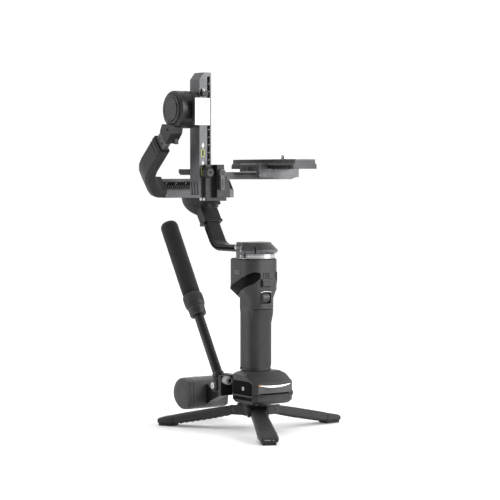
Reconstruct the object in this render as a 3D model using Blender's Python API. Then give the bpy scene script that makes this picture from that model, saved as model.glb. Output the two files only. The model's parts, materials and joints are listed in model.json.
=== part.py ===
"""Handheld three-axis camera stabilizer on its folding mini tripod, as separate parts.

Sizes are in millimetres and become metres when a part is added. +X is the side away from
the tilt motor, -Y is the way the camera looks and +Z is up. The frame's origin lies on the pan
axis, at the centre of the tripod hub's flat underside.
"""

import math

import bmesh
import bpy
from mathutils import Matrix, Vector

MM = 0.001
GAP = 0.3
FINE, COARSE = 32, 20

# tripod: heights are above the origin, which is HUB_CLEARANCE above the ground
HUB_CLEARANCE = 20.0
GROUND = -HUB_CLEARANCE
HUB_RADIUS, HUB_HEIGHT = 19.0, 18.0
YOKE_REACH, YOKE_HALF_WIDTH, YOKE_TOP = 30.0, 13.5, 13.0
SLOT_START = 17.0
LEG_TURNS = (2.4, 122.4, 242.4)
LEG_PIVOT_RADIUS, LEG_PIVOT_HEIGHT = 25.0, 6.5
LEG_START, LEG_REACH = 19.6, 136.2
LEG_HALF_WIDTH, LEG_TIP_HALF_WIDTH = 9.9, 12.0
FOOT_LENGTH, FOOT_THICKNESS = 22.0, 3.0

# base housing under the grip, with its light strip and rear mount
BASE_LOW, BASE_HIGH = 18.6, 59.0
BASE_HALF_WIDTH, BASE_FRONT, BASE_REAR = 31.5, -44.5, 24.0
FASCIA_FOOT, SHOULDER_HEIGHT = 46.0, 55.0
STRIP_HIGH, STRIP_DEPTH = 44.6, 1.3
HINGE_Y, HINGE_Z = 47.0, 36.0
MOUNT_HALF_WIDTH, LUG_INNER = 14.0, 7.0

# sling grip and wrist rest
SLING_X, SLING_LEAN = -21.2, math.radians(32.0)
ROD_RADIUS, ROD_LENGTH = 6.5, 190.0
COLLAR_FROM, COLLAR_TO = 104.0, 135.0
FOAM_RADIUS, FOAM_TO = 12.2, 248.5
PAD_Y, PAD_Z, PAD_HALF_LENGTH = 130.0, 17.5, 32.0
PAD_HALF_DEPTH, PAD_HALF_HEIGHT = 23.5, 22.0

# handle
WALL = 2.2
GRIP_HALF_WIDTH, GRIP_HALF_DEPTH, GRIP_CORNER = 17.5, 18.0, 12.5
GRIP_LOW, GRIP_HIGH, DOOR_Y = BASE_HIGH + GAP, 139.2, 4.0
HEAD_HALF_WIDTH, HEAD_FRONT, HEAD_REAR, HEAD_CORNER = 25.0, -24.0, 32.0, 16.5
HEAD_LOW, HEAD_SKIRT, HEAD_HIGH = GRIP_HIGH + GAP, 164.0, 204.0
NECK_FRONT, NECK_HIGH = -24.0, 153.0
GRIP_PAD_FROM = 32.0
CELL_RADIUS, CELL_LENGTH, CELL_OFFSET = 7.0, 62.0, (4.5, 7.4)
TRIGGER_Z, DIAL_Z, DIAL_Y, DIAL_RADIUS = 173.0, 154.0, -18.2, 6.8

# pan axis
PAN_RADIUS, PAN_RING_HIGH = 25.4, 210.8
SHAFT_RADIUS, BORE_RADIUS = 7.0, 9.0
CLAMP_LOW, CLAMP_HIGH = PAN_RING_HIGH + GAP, 225.0
ARM_HALF_WIDTH, ARM_THICKNESS, ARM_Z = 11.5, 8.4, 215.8
ARM_FRONT, ARM_BEND_Y, ARM_BEND_RADIUS = -1.5, 81.5, 22.0
ARM_RISE, ARM_RISE_LENGTH = math.radians(56.0), 37.0

# roll axis: it leans up and forward from the motor to the tilt axis
TILT_Z = 394.0
ROLL_LEAN = math.radians(41.0)
ROLL_REAR_Y = 139.0
ROLL_REAR_Z = TILT_Z - ROLL_REAR_Y * math.tan(ROLL_LEAN)
ROLL_RADIUS = 24.5
ROLL_CAP_TO, ROLL_BARREL_TO, ROLL_ROTOR_TO, ROLL_CLAMP_TO = 7.7, 34.0, 41.0, 50.0
RAIL_FROM_X, RAIL_TO_X = -88.0, 20.0
RAIL_LOW, RAIL_HIGH = 282.0, 307.0
LINK_DROP, LINK_X, LINK_START_X, LINK_ALONG = -17.0, -128.0, -88.5, 54.5
LINK_TURN = ((-97.0, 54.5), (-104.0, 57.5), (-112.0, 65.5), (-122.0, 79.0), (-126.6, 89.0))
LINK_HALF_DEPTH, LINK_HALF_THICKNESS = 10.5, 4.5
COVER_HALF_DEPTH, COVER_HALF_THICKNESS = 14.5, 7.5

# tilt axis
TILT_RADIUS = 23.5
TILT_OUTER_X, TILT_INNER_X = -127.5, -101.0
ARM_OUTER_X, ARM_INNER_X = -95.6, -78.0
UPRIGHT_FRONT, UPRIGHT_REAR = -14.0, 8.0
UPRIGHT_LOW, UPRIGHT_HIGH = 283.0, 441.0
LIGHT_X, LIGHT_Z, LIGHT_FRONT, LIGHT_BACK = (-113.6, -91.6), (374.0, 408.0), -32.0, -24.6

# camera carriage
BRACKET_INNER_X, BRACKET_LIP_X, BRACKET_LIP_Y = -58.0, -90.0, -20.0
BRACKET_FRONT, BRACKET_REAR = -27.0, 12.0
BRACKET_LOW, BRACKET_HIGH = 283.4, 325.0
BAR_LEFT, BAR_RIGHT, BAR_FRONT, BAR_REAR = -66.0, 48.0, -24.0, 22.0
BAR_LOW, BAR_HIGH = 306.3, 315.7
TAIL_LEFT, TAIL_REAR, TAIL_LOW, TAIL_HIGH = -72.0, 71.8, 311.8, 319.6
RECEIVER_HALF_WIDTH, RECEIVER_FRONT, RECEIVER_REAR = 31.0, -52.8, -9.5
RECEIVER_LIP, RECEIVER_LIP_LOW, RECEIVER_HIGH = 6.5, 309.2, 326.6
PLATE_LOW, PLATE_HIGH, PLATE_HALF_WIDTH = 319.6, 331.6, 18.0
PLATE_FRONT, PLATE_REAR = -108.0, 28.5
SCREW_Y = -62.0

MATERIALS = {
    "black_plastic": ((0.022, 0.022, 0.024), 0.5, 0.0),
    "black_metal": ((0.03, 0.03, 0.033), 0.38, 0.7),
    "grey_metal": ((0.11, 0.11, 0.12), 0.4, 0.8),
    "silver_metal": ((0.62, 0.62, 0.64), 0.25, 1.0),
    "gloss_black": ((0.012, 0.012, 0.014), 0.12, 0.0),
    "black_rubber": ((0.018, 0.018, 0.018), 0.85, 0.0),
    "black_foam": ((0.02, 0.02, 0.021), 0.95, 0.0),
    "lamp_white": ((0.95, 0.93, 0.88), 0.3, 0.0),
    "green_board": ((0.03, 0.16, 0.07), 0.5, 0.0),
    "cell_wrap": ((0.08, 0.22, 0.42), 0.4, 0.0),
}


def clear_scene():
    for obj in list(bpy.data.objects):
        bpy.data.objects.remove(obj, do_unlink=True)


def make_materials():
    made = {}
    for name, (colour, roughness, metallic) in MATERIALS.items():
        material = bpy.data.materials.new(name)
        material.use_nodes = True
        shader = material.node_tree.nodes["Principled BSDF"]
        shader.inputs["Base Color"].default_value = (*colour, 1.0)
        shader.inputs["Roughness"].default_value = roughness
        shader.inputs["Metallic"].default_value = metallic
        made[name] = material
    return made


# frames

def place(origin, along, side):
    """A frame at origin whose Z runs along one way and whose X is the side way."""
    z = Vector(along).normalized()
    x = Vector(side).normalized()
    y = z.cross(x)
    turn = Matrix((x, y, z)).transposed().to_4x4()
    return Matrix.Translation(Vector(origin)) @ turn


UPWARD = Matrix.Identity(4)
ROLL_ALONG = Vector((0.0, -math.cos(ROLL_LEAN), math.sin(ROLL_LEAN)))
ROLL_UP = Vector((0.0, math.sin(ROLL_LEAN), math.cos(ROLL_LEAN)))
ROLL_REAR = Vector((0.0, ROLL_REAR_Y, ROLL_REAR_Z))
ROLL_FRAME = place(ROLL_REAR, ROLL_ALONG, (1, 0, 0))
SLING_ALONG = Vector((0.0, math.sin(SLING_LEAN), math.cos(SLING_LEAN)))
SLING_FRAME = place((SLING_X, HINGE_Y, HINGE_Z), SLING_ALONG, (1, 0, 0))


def across(x, y, z):
    """A frame at a point whose Z runs along world +X."""
    return place((x, y, z), (1, 0, 0), (0, 1, 0))


def facing_rear(x, y, z):
    """A frame at a point whose Z runs along world +Y."""
    return place((x, y, z), (0, 1, 0), (1, 0, 0))


# outlines

def circle(radius, count=FINE, centre=(0.0, 0.0)):
    turns = [2 * math.pi * (i + 0.5) / count for i in range(count)]
    return [(centre[0] + radius * math.cos(t), centre[1] + radius * math.sin(t)) for t in turns]


def arc(centre, radius, start, stop, count):
    """Points on an arc, both ends included; angles in degrees."""
    turns = [math.radians(start + (stop - start) * i / (count - 1)) for i in range(count)]
    return [(centre[0] + radius * math.cos(t), centre[1] + radius * math.sin(t)) for t in turns]


def rounded_outline(half_width, front, rear, corner, count=5):
    """A rounded rectangle in plan, from the rear right corner, anticlockwise from above."""
    x = half_width - corner
    back, fore = rear - corner, front + corner
    points = arc((x, back), corner, 0, 90, count)
    points += arc((-x, back), corner, 90, 180, count)
    points += arc((-x, fore), corner, 180, 270, count)
    points += arc((x, fore), corner, 270, 360, count)
    return points


def round_match(outline, radius):
    """Points of a circle at the same bearings as an outline's points."""
    bearings = [math.atan2(y, x) for x, y in outline]
    return [(radius * math.cos(b), radius * math.sin(b)) for b in bearings]


def split_outline(half_width, half_depth, corner, cut_y, rear_side):
    """The part of a rounded rectangle in front of, or behind, a cut across it, end to end."""
    count = 7
    x, y = half_width - corner, half_depth - corner
    if rear_side:
        points = arc((x, y), corner, 0, 90, count) + arc((-x, y), corner, 90, 180, count)
        return [(half_width, cut_y), *points, (-half_width, cut_y)]
    points = arc((-x, -y), corner, 180, 270, count) + arc((x, -y), corner, 270, 360, count)
    return [(-half_width, cut_y), *points, (half_width, cut_y)]


# bodies

def at_level(points, level):
    return [Vector((x, y, level)) for x, y in points]


def skin(loops, joined=False):
    """A closed body through loops of equal length, capped, or joined back to the first."""
    bm = bmesh.new()
    rows = [[bm.verts.new(p) for p in loop] for loop in loops]
    pairs = list(zip(rows, rows[1:]))
    if joined:
        pairs.append((rows[-1], rows[0]))
    else:
        bm.faces.new(rows[0])
        bm.faces.new(rows[-1])
    for low, high in pairs:
        for i in range(len(low)):
            j = (i + 1) % len(low)
            bm.faces.new((low[i], low[j], high[j], high[i]))
    bmesh.ops.recalc_face_normals(bm, faces=bm.faces)
    return bm


def in_frame(bm, frame):
    bmesh.ops.transform(bm, matrix=frame, verts=bm.verts)
    return bm


def prism(outline, low, high, frame=UPWARD):
    return in_frame(skin([at_level(outline, low), at_level(outline, high)]), frame)


def block(x, y, z, frame=UPWARD):
    """A box from pairs of lowest and highest x, y and z."""
    outline = [(x[0], y[0]), (x[1], y[0]), (x[1], y[1]), (x[0], y[1])]
    return prism(outline, z[0], z[1], frame)


def turned(profile, frame=UPWARD, count=FINE, hollow=False):
    """A turned body from (radius, height) pairs; a hollow one's profile is a closed loop."""
    loops = [at_level(circle(radius, count), height) for radius, height in profile]
    return in_frame(skin(loops, joined=hollow), frame)


def tube(inner, outer, low, high, frame=UPWARD, count=FINE):
    profile = [(inner, low), (outer, low), (outer, high), (inner, high)]
    return turned(profile, frame, count, hollow=True)


def swept(path, outline, side):
    """A body along a path; an outline's x runs across the path and its y runs along side."""
    side = Vector(side)
    loops = []
    for i, point in enumerate(path):
        before = path[max(i - 1, 0)]
        after = path[min(i + 1, len(path) - 1)]
        heading = (Vector(after) - Vector(before)).normalized()
        cross = side.cross(heading).normalized()
        loops.append([Vector(point) + cross * a + side * b for a, b in outline])
    return loops


def combine(bm, other, operation):
    """The Boolean of two bodies: UNION, or DIFFERENCE for the first less the second."""
    pieces = []
    for source in (bm, other):
        mesh = bpy.data.meshes.new("scratch")
        source.to_mesh(mesh)
        source.free()
        piece = bpy.data.objects.new("scratch", mesh)
        bpy.context.scene.collection.objects.link(piece)
        pieces.append(piece)
    modifier = pieces[0].modifiers.new("combine", "BOOLEAN")
    modifier.operation = operation
    modifier.solver = "EXACT"
    modifier.object = pieces[1]
    graph = bpy.context.evaluated_depsgraph_get()
    result = bmesh.new()
    result.from_object(pieces[0], graph)
    for piece in pieces:
        mesh = piece.data
        bpy.data.objects.remove(piece, do_unlink=True)
        bpy.data.meshes.remove(mesh)
    return result


def joined_bodies(first, *others):
    for other in others:
        first = combine(first, other, "UNION")
    return first


def cut_from(first, *others):
    for other in others:
        first = combine(first, other, "DIFFERENCE")
    return first


def add_part(name, bm, material, pivot=(0.0, 0.0, 0.0)):
    """Adds a body as a named object whose origin is at its pivot."""
    pivot = Vector(pivot)
    bmesh.ops.translate(bm, vec=-pivot, verts=bm.verts)
    bmesh.ops.scale(bm, vec=(MM, MM, MM), verts=bm.verts)
    bmesh.ops.recalc_face_normals(bm, faces=bm.faces)
    for face in bm.faces:
        face.smooth = True
    mesh = bpy.data.meshes.new(name)
    bm.to_mesh(mesh)
    bm.free()
    mesh.set_sharp_from_angle(angle=math.radians(32))
    mesh.materials.append(PAINT[material])
    obj = bpy.data.objects.new(name, mesh)
    obj.location = pivot * MM
    bpy.context.scene.collection.objects.link(obj)
    return obj


# tripod

def leg_frame(turn):
    """A leg's frame: Z runs outward along the leg's bearing, X across it and Y up."""
    turn = math.radians(turn)
    outward = Vector((math.cos(turn), math.sin(turn), 0.0))
    return place((0, 0, 0), outward, Vector((0, 0, 1)).cross(outward))


def tripod_hub():
    flange = HUB_HEIGHT - 3.2
    profile = [(HUB_RADIUS - 2.5, 0.0), (HUB_RADIUS - 2.5, 2.0), (HUB_RADIUS - 1.0, 4.0)]
    profile += [(HUB_RADIUS - 1.0, flange), (HUB_RADIUS, flange + 0.8), (HUB_RADIUS, HUB_HEIGHT)]
    hub = turned(profile)
    for turn in LEG_TURNS:
        frame = leg_frame(turn)
        yoke = block((-YOKE_HALF_WIDTH, YOKE_HALF_WIDTH), (0.6, YOKE_TOP), (8, YOKE_REACH), frame)
        hub = combine(hub, yoke, "UNION")
    for turn in LEG_TURNS:
        half = LEG_HALF_WIDTH + GAP
        slot = block((-half, half), (-9, YOKE_TOP + 1), (SLOT_START, 50), leg_frame(turn))
        hub = combine(hub, slot, "DIFFERENCE")
    add_part("tripod_hub", hub, "black_plastic")


def leg_section(half_width, low, high, edge):
    """A leg's cross-section: flat top with bevelled edges, narrower underneath."""
    return [(-half_width, low + edge), (-half_width + edge, low), (half_width - edge, low),
            (half_width, low + edge), (half_width, high - edge), (half_width - edge, high),
            (-half_width + edge, high), (-half_width, high - edge)]


def tripod_leg(number, turn):
    frame = leg_frame(turn)
    pivot = frame @ Vector((0, LEG_PIVOT_HEIGHT, LEG_PIVOT_RADIUS))
    foot_top = GROUND + FOOT_THICKNESS + GAP
    stations = [(LEG_START, LEG_HALF_WIDTH, 1.5, 11.8, 1.5),
                (LEG_START + 10, LEG_HALF_WIDTH, 0.4, 11.0, 2.0),
                (65, 10.2, -7.5, 4.6, 2.4),
                (LEG_REACH - FOOT_LENGTH, LEG_TIP_HALF_WIDTH, foot_top, -5.4, 2.6),
                (LEG_REACH - 4, LEG_TIP_HALF_WIDTH, foot_top, -9.0, 2.2),
                (LEG_REACH, LEG_TIP_HALF_WIDTH - 1.4, foot_top, -11.0, 1.4)]
    loops = [at_level(leg_section(half, low, high, edge), reach)
             for reach, half, low, high, edge in stations]
    add_part(f"leg_{number}", in_frame(skin(loops), frame), "black_plastic", pivot)
    span = (LEG_REACH - FOOT_LENGTH, LEG_REACH - 0.8)
    rise = (GROUND, GROUND + FOOT_THICKNESS)
    foot = block((-8.5, 8.5), rise, span, frame)
    add_part(f"foot_{number}", foot, "black_rubber", pivot)


# base housing

def base_plan(front_limit=-99.0, inset=0.0):
    """The base's plan outline; the front is bowed and can be cut back for the sloping top."""
    half, rear = BASE_HALF_WIDTH - inset, BASE_REAR - inset
    bow = [(half, -38.0 + inset), (half - 6, BASE_FRONT + 2 + inset), (12, BASE_FRONT + 0.5 + inset),
           (0, BASE_FRONT + inset), (-12, BASE_FRONT + 0.5 + inset),
           (-half + 6, BASE_FRONT + 2 + inset), (-half, -38.0 + inset)]
    bow = [(x, max(y, front_limit + 0.006 * x * x)) for x, y in bow]
    return [(14 - inset, rear), (half, 6 - inset), *bow, (-half, 6 - inset), (-14 + inset, rear)]


def base_housing():
    crown = base_plan(-24.0, 8.0)
    loops = [at_level(base_plan(inset=3.0), BASE_LOW), at_level(base_plan(), BASE_LOW + 4),
             at_level(base_plan(), FASCIA_FOOT), at_level(base_plan(-29.0), SHOULDER_HEIGHT),
             at_level(crown, BASE_HIGH)]
    add_part("base_housing", skin(loops), "black_plastic")


def light_strip():
    """A crescent of frosted plastic along the bowed front."""
    front = [(x, y) for x, y in base_plan() if abs(x) <= BASE_HALF_WIDTH - 6 and y < -30]
    front = sorted(front)
    low = [STRIP_HIGH - depth for depth in (0.8, 2.1, 2.7, 2.1, 0.8)]
    loops = []
    for (x, y), bottom in zip(front, low):
        near, far = y - GAP, y - GAP - STRIP_DEPTH
        loops.append([Vector((x, near, bottom)), Vector((x, far, bottom)),
                      Vector((x, far, STRIP_HIGH)), Vector((x, near, STRIP_HIGH))])
    add_part("light_strip", skin(loops), "lamp_white")


def rear_mount():
    """The yoke behind the base that the wrist rest and the sling rod swing on."""
    front, lug = BASE_REAR + GAP, HINGE_Y + 8.0
    half, inner = MOUNT_HALF_WIDTH, LUG_INNER
    wing = (30.0, 35.6)
    plan = [(-half, front), (half, front), (half, lug), (inner, lug), (inner, 37.5),
            (-inner, 37.5), (-inner, lug), (-half, lug), (-half, wing[1]),
            (-34, wing[1]), (-34, wing[0]), (-half, wing[0])]
    add_part("rear_mount", prism(plan, HINGE_Z - 12, HINGE_Z + 14.5), "black_metal")


def mount_thumbscrew():
    """A ribbed screw with a hexagon socket, in front of the mount's wing."""
    frame = facing_rear(-28.0, 18.0, 44.6)
    outer = [(5.3 if i % 2 else 4.7, i) for i in range(24)]
    turns = [(r * math.cos(math.tau * i / 24), r * math.sin(math.tau * i / 24)) for r, i in outer]
    socket = [(3.0 * math.cos(math.tau * i / 24), 3.0 * math.sin(math.tau * i / 24))
              for i in range(24)]
    loops = [at_level(socket, 6.0), at_level(socket, 0.0), at_level(turns, 0.0),
             at_level(turns, 11.7)]
    knob = in_frame(skin(loops), frame)
    add_part("mount_thumbscrew", knob, "black_metal", frame.translation)


def hinge_knob():
    frame = across(-35.3, HINGE_Y, HINGE_Z)
    profile = [(5.0, 0.0), (7.4, 1.2), (7.8, 3.0), (7.8, 5.2), (6.0, 7.2)]
    add_part("hinge_knob", turned(profile, frame, 24), "black_metal", frame.translation)


def rest_arm():
    """A bar from the mount's cross hinge back and down to the wrist pad."""
    half, root = LUG_INNER - GAP, 8.0
    front = PAD_Y - PAD_HALF_DEPTH - GAP
    knuckle = arc((HINGE_Y, HINGE_Z), root, 80, 262, 9)
    side = [*knuckle, (front - 12, PAD_Z - 8), (front - 4, PAD_Z - 13), (front, PAD_Z - 13),
            (front, PAD_Z + 13), (front - 4, PAD_Z + 13), (front - 12, PAD_Z + 8)]
    frame = place((0, 0, 0), (1, 0, 0), (0, 1, 0))
    arm = prism(side, -half, half, frame)
    add_part("rest_arm", arm, "black_metal", (0, HINGE_Y, HINGE_Z))


def wrist_pad():
    """A padded roll, flatter on the side toward the handle."""
    points = []
    for i in range(24):
        turn = math.tau * (i + 0.5) / 24
        y, z = math.cos(turn), math.sin(turn)
        y = max(y, -0.86)
        points.append((PAD_Y + PAD_HALF_DEPTH * y, PAD_Z + PAD_HALF_HEIGHT * z))
    points = [(max(y, PAD_Y - PAD_HALF_DEPTH * 0.86), z) for y, z in points]
    centre = Vector((PAD_Y, PAD_Z))
    shift = PAD_HALF_DEPTH * 0.14
    small = [tuple(centre + (Vector(p) - centre) * 0.9) for p in points]
    frame = place((0, -shift, 0), (1, 0, 0), (0, 1, 0))
    loops = [at_level(small, -PAD_HALF_LENGTH), at_level(points, -PAD_HALF_LENGTH + 3),
             at_level(points, PAD_HALF_LENGTH - 3), at_level(small, PAD_HALF_LENGTH)]
    pad = in_frame(skin(loops), frame)
    add_part("wrist_pad", pad, "black_foam", (0, HINGE_Y, HINGE_Z))


def sling_rod():
    pivot = (SLING_X, HINGE_Y, HINGE_Z)
    half = 6.6
    knuckle = turned([(8.4, -half), (8.4, half)], across(*pivot), COARSE)
    rod = turned([(ROD_RADIUS, 2.0), (ROD_RADIUS, ROD_LENGTH)], SLING_FRAME, 24)
    add_part("sling_rod", joined_bodies(rod, knuckle), "black_metal", pivot)


def twist_collar():
    bore = ROD_RADIUS + GAP
    step = COLLAR_FROM + 12
    profile = [(bore, COLLAR_FROM), (10.2, COLLAR_FROM), (11.2, COLLAR_FROM + 2), (11.2, step),
               (12.6, step + 1.2), (13.4, step + 4), (13.4, COLLAR_TO - 2),
               (12.4, COLLAR_TO), (bore, COLLAR_TO)]
    collar = turned(profile, SLING_FRAME, 28, hollow=True)
    add_part("twist_collar", collar, "black_plastic", SLING_FRAME.translation)


def sling_foam():
    """The foam handle: closed at the top, with a bore that the rod slides in."""
    bore, low, top = ROD_RADIUS + GAP, COLLAR_TO + GAP, FOAM_TO
    profile = [(bore, top - 6), (bore, low), (FOAM_RADIUS - 0.6, low), (FOAM_RADIUS, low + 2),
               (FOAM_RADIUS, top - 7), (FOAM_RADIUS - 1.8, top - 3), (FOAM_RADIUS - 5.2, top - 0.6),
               (4.0, top)]
    foam = turned(profile, SLING_FRAME, 24)
    add_part("sling_foam", foam, "black_foam", SLING_FRAME.translation)


# handle

def c_section(half_width, half_depth, corner, wall, cut_y, rear_side):
    outer = split_outline(half_width, half_depth, corner, cut_y, rear_side)
    inner = split_outline(half_width - wall, half_depth - wall, corner - wall, cut_y, rear_side)
    return outer + inner[::-1]


def grip_shells():
    front = c_section(GRIP_HALF_WIDTH, GRIP_HALF_DEPTH, GRIP_CORNER, WALL, DOOR_Y - GAP, False)
    add_part("grip_shell", prism(front, GRIP_LOW, GRIP_HIGH), "black_plastic")
    rear = c_section(GRIP_HALF_WIDTH, GRIP_HALF_DEPTH, GRIP_CORNER, WALL, DOOR_Y, True)
    add_part("battery_door", prism(rear, GRIP_LOW, GRIP_HIGH), "black_plastic")


def grip_pad():
    """A rubber pad round the front of the grip, thicker at its top lip."""
    def outline(side, depth):
        corner = GRIP_CORNER + side
        x, y = GRIP_HALF_WIDTH + side - corner, GRIP_HALF_DEPTH + depth - corner
        left = arc((-x, -y), corner, 180 + GRIP_PAD_FROM, 270, 7)
        return left + arc((x, -y), corner, 270, 360 - GRIP_PAD_FROM, 7)

    def section(stand_off):
        reach = GAP + stand_off
        return outline(min(reach, 1.1), reach) + outline(GAP, GAP)[::-1]
    levels = [(64, 0.4), (68, 0.8), (120, 0.8), (132, 4.6), (138.4, 5.4)]
    loops = [at_level(section(stand_off), level) for level, stand_off in levels]
    add_part("grip_pad", skin(loops), "black_rubber")


def battery_cells():
    for number, sign in ((1, 1), (2, -1)):
        centre = (sign * CELL_OFFSET[0], sign * CELL_OFFSET[1])
        low = GRIP_LOW + 8
        loops = [at_level(circle(CELL_RADIUS - 1, COARSE, centre), low),
                 at_level(circle(CELL_RADIUS, COARSE, centre), low + 1),
                 at_level(circle(CELL_RADIUS, COARSE, centre), low + CELL_LENGTH - 1),
                 at_level(circle(CELL_RADIUS - 1, COARSE, centre), low + CELL_LENGTH)]
        add_part(f"battery_cell_{number}", skin(loops), "cell_wrap")


def head_shell():
    """The hollow head: a round opening for the pan motor above, open to the grip below."""
    def outline(half, front, rear, corner):
        return rounded_outline(half, front, rear, corner, 7)
    full = (HEAD_HALF_WIDTH, HEAD_FRONT, HEAD_REAR, HEAD_CORNER)
    outer = outline(*full)
    crown = outline(HEAD_HALF_WIDTH - 1.4, HEAD_FRONT + 1.4, HEAD_REAR - 1.4, HEAD_CORNER - 1.4)
    neck = outline(GRIP_HALF_WIDTH + 0.6, NECK_FRONT, GRIP_HALF_DEPTH + 0.6, 13.0)
    inside = outline(HEAD_HALF_WIDTH - WALL, HEAD_FRONT + WALL, HEAD_REAR - WALL, 14.3)
    throat = outline(GRIP_HALF_WIDTH - WALL, NECK_FRONT + WALL, GRIP_HALF_DEPTH - WALL, 10.8)
    mouth = round_match(outer, 21.4)
    loops = [at_level(neck, HEAD_LOW), at_level(neck, NECK_HIGH),
             at_level(outer, HEAD_SKIRT), at_level(outer, HEAD_HIGH - 1.6),
             at_level(crown, HEAD_HIGH), at_level(mouth, HEAD_HIGH),
             at_level(mouth, HEAD_HIGH - WALL), at_level(inside, HEAD_HIGH - WALL),
             at_level(inside, HEAD_SKIRT + 2), at_level(throat, NECK_HIGH + 2),
             at_level(throat, HEAD_LOW)]
    shell = skin(loops, joined=True)
    trigger = block((-7.4, 7.4), (-40, -15), (TRIGGER_Z - 5.4, TRIGGER_Z + 5.4))
    dial = block((-6.9, 6.9), (-40, -10), (DIAL_Z - 7.2, DIAL_Z + 7.2))
    holes = [trigger, dial]
    for x, z, radius in REAR_CONTROLS.values():
        holes.append(turned([(radius + GAP, 0), (radius + GAP, 20)], facing_rear(x, 20, z), 16))
    add_part("head_shell", cut_from(shell, *holes), "black_plastic")


REAR_CONTROLS = {
    "joystick": (0.0, 171.0, 4.6),
    "record_button": (-7.2, 181.5, 2.6),
    "mode_button": (7.2, 181.5, 2.6),
}


def rear_controls():
    for name, (x, z, radius) in REAR_CONTROLS.items():
        if name == "joystick":
            frame = facing_rear(x, HEAD_REAR - 5, z)
            profile = [(2.0, 0), (2.0, 6.0), (4.0, 8.2), (4.2, 9.6), (3.2, 10.4)]
            stick = turned(profile, frame, 16)
            add_part(name, stick, "black_rubber", frame.translation)
        else:
            frame = facing_rear(x, HEAD_REAR - 4, z)
            button = turned([(radius, 0), (radius, 5.2), (radius - 0.5, 5.7)], frame, 16)
            add_part(name, button, "grey_metal", frame.translation)


def display_window():
    y = HEAD_REAR + GAP
    window = prism([(-8.2, 188.5), (8.2, 188.5), (8.2, 200), (-8.2, 200)], 0, 0.9,
                   place((0, y + 0.9, 0), (0, -1, 0), (1, 0, 0)))
    add_part("display_window", window, "gloss_black")


def front_trigger():
    outline = [(-7, -27.6), (7, -27.6), (7, -18.0), (-7, -18.0)]
    low, high = TRIGGER_Z - 5.0, TRIGGER_Z + 5.0
    inner = [(x, y + (1.6 if y < -20 else 0.0)) for x, y in outline]
    loops = [at_level(inner, low), at_level(outline, low + 3), at_level(inner, high)]
    add_part("front_trigger", skin(loops), "black_plastic", (0, -18, TRIGGER_Z))


def front_dial():
    frame = across(-6.5, DIAL_Y, DIAL_Z)
    rim = DIAL_RADIUS
    profile = [(rim - 1.4, 0), (rim, 1.2), (rim, 11.8), (rim - 1.4, 13.0)]
    add_part("front_dial", turned(profile, frame, 24), "silver_metal", (0, DIAL_Y, DIAL_Z))


def inlay_band(name, sign):
    """A glossy band that runs down the head's side from the front to the rear foot."""
    half, corner = HEAD_HALF_WIDTH + GAP, HEAD_CORNER + GAP
    plan = rounded_outline(half, HEAD_FRONT - GAP, HEAD_REAR + GAP, corner, 7)
    side = [p for p in plan if p[0] < -9.0]
    side.sort(key=lambda p: -math.atan2(p[1], p[0]) % math.tau)
    proud = 0.7
    loops = []
    count = len(side)
    for i, (x, y) in enumerate(side):
        progress = i / (count - 1)
        if y > 4.0:
            outward = Vector((x + HEAD_HALF_WIDTH - HEAD_CORNER, y - HEAD_REAR + HEAD_CORNER, 0))
        else:
            outward = Vector((x + HEAD_HALF_WIDTH - HEAD_CORNER, y - HEAD_FRONT - HEAD_CORNER, 0))
        outward = outward.normalized() * proud
        point = Vector((x, y, 0))
        middle = 179.5 - 9.0 * progress
        half_height = 9.5 - 4.5 * progress
        low = Vector((0, 0, max(middle - half_height, HEAD_SKIRT + 1.0)))
        high = Vector((0, 0, middle + half_height))
        loop = [point + low, point + outward + low, point + outward + high, point + high]
        loops.append([Vector((-sign * p.x, p.y, p.z)) for p in loop])
    add_part(name, skin(loops), "gloss_black")


def control_board():
    board = block((-14, 14), (-13.5, 20), (166.5, 168.1))
    add_part("control_board", board, "green_board")


# pan axis

def pan_motor_ring():
    bore, high = BORE_RADIUS, PAN_RING_HIGH
    profile = [(bore, 186), (19.0, 186), (19.0, HEAD_HIGH + GAP), (PAN_RADIUS, HEAD_HIGH + GAP),
               (PAN_RADIUS, high - 0.8), (PAN_RADIUS - 0.8, high), (bore, high)]
    add_part("pan_motor_ring", turned(profile, hollow=True), "silver_metal")


def pan_shaft():
    shaft = turned([(SHAFT_RADIUS, 187), (SHAFT_RADIUS, 208), (8.5, 208), (8.5, CLAMP_LOW - GAP)],
                   count=COARSE)
    add_part("pan_shaft", shaft, "grey_metal")


def pan_clamp():
    """The pan rotor's cap: faceted in front, with a channel behind that holds the arm."""
    foot = [(17, 19), (25, 10), (27, -8), (18.5, -24), (8, -31), (-8, -31), (-21, -26),
            (-29, -12), (-29, 2), (-17, 19)]
    top = [(17, 19), (21, 9), (20, -6), (12, -17), (6, -21), (-8, -22), (-19, -20),
           (-27.5, -10), (-27.5, 2), (-17, 19)]
    under = [(x * 0.95, y * 0.95) for x, y in foot[:7]] + foot[7:]
    loops = [at_level(under, CLAMP_LOW), at_level(foot, CLAMP_LOW + 2.4),
             at_level(foot, CLAMP_LOW + 4.5), at_level(top, CLAMP_HIGH)]
    half = ARM_HALF_WIDTH + GAP
    half_height = ARM_THICKNESS / 2 + GAP
    channel = block((-half, half), (ARM_FRONT - 15, 60), (ARM_Z - half_height, ARM_Z + half_height))
    skirt = block((-29, -25.9), (-11.5, 1.5), (HEAD_HIGH + 1.0, CLAMP_LOW + 1.5))
    clamp = cut_from(joined_bodies(skin(loops), skirt), channel)
    add_part("pan_clamp", clamp, "black_metal")


def pan_lock_lever():
    """A lever beside the pan clamp that locks the arm in its channel."""
    pivot = (-29.3, -1.5, 218.6)
    frame = place(pivot, (-1, 0, 0), (0, 0, 1))
    outline = [*arc((0, 0), 3.6, -50, 230, 11), (-2.0, -10.5), (2.0, -10.5)]
    lever = prism(outline, 0, 2.6, frame)
    add_part("pan_lock_lever", lever, "grey_metal", pivot)


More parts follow.
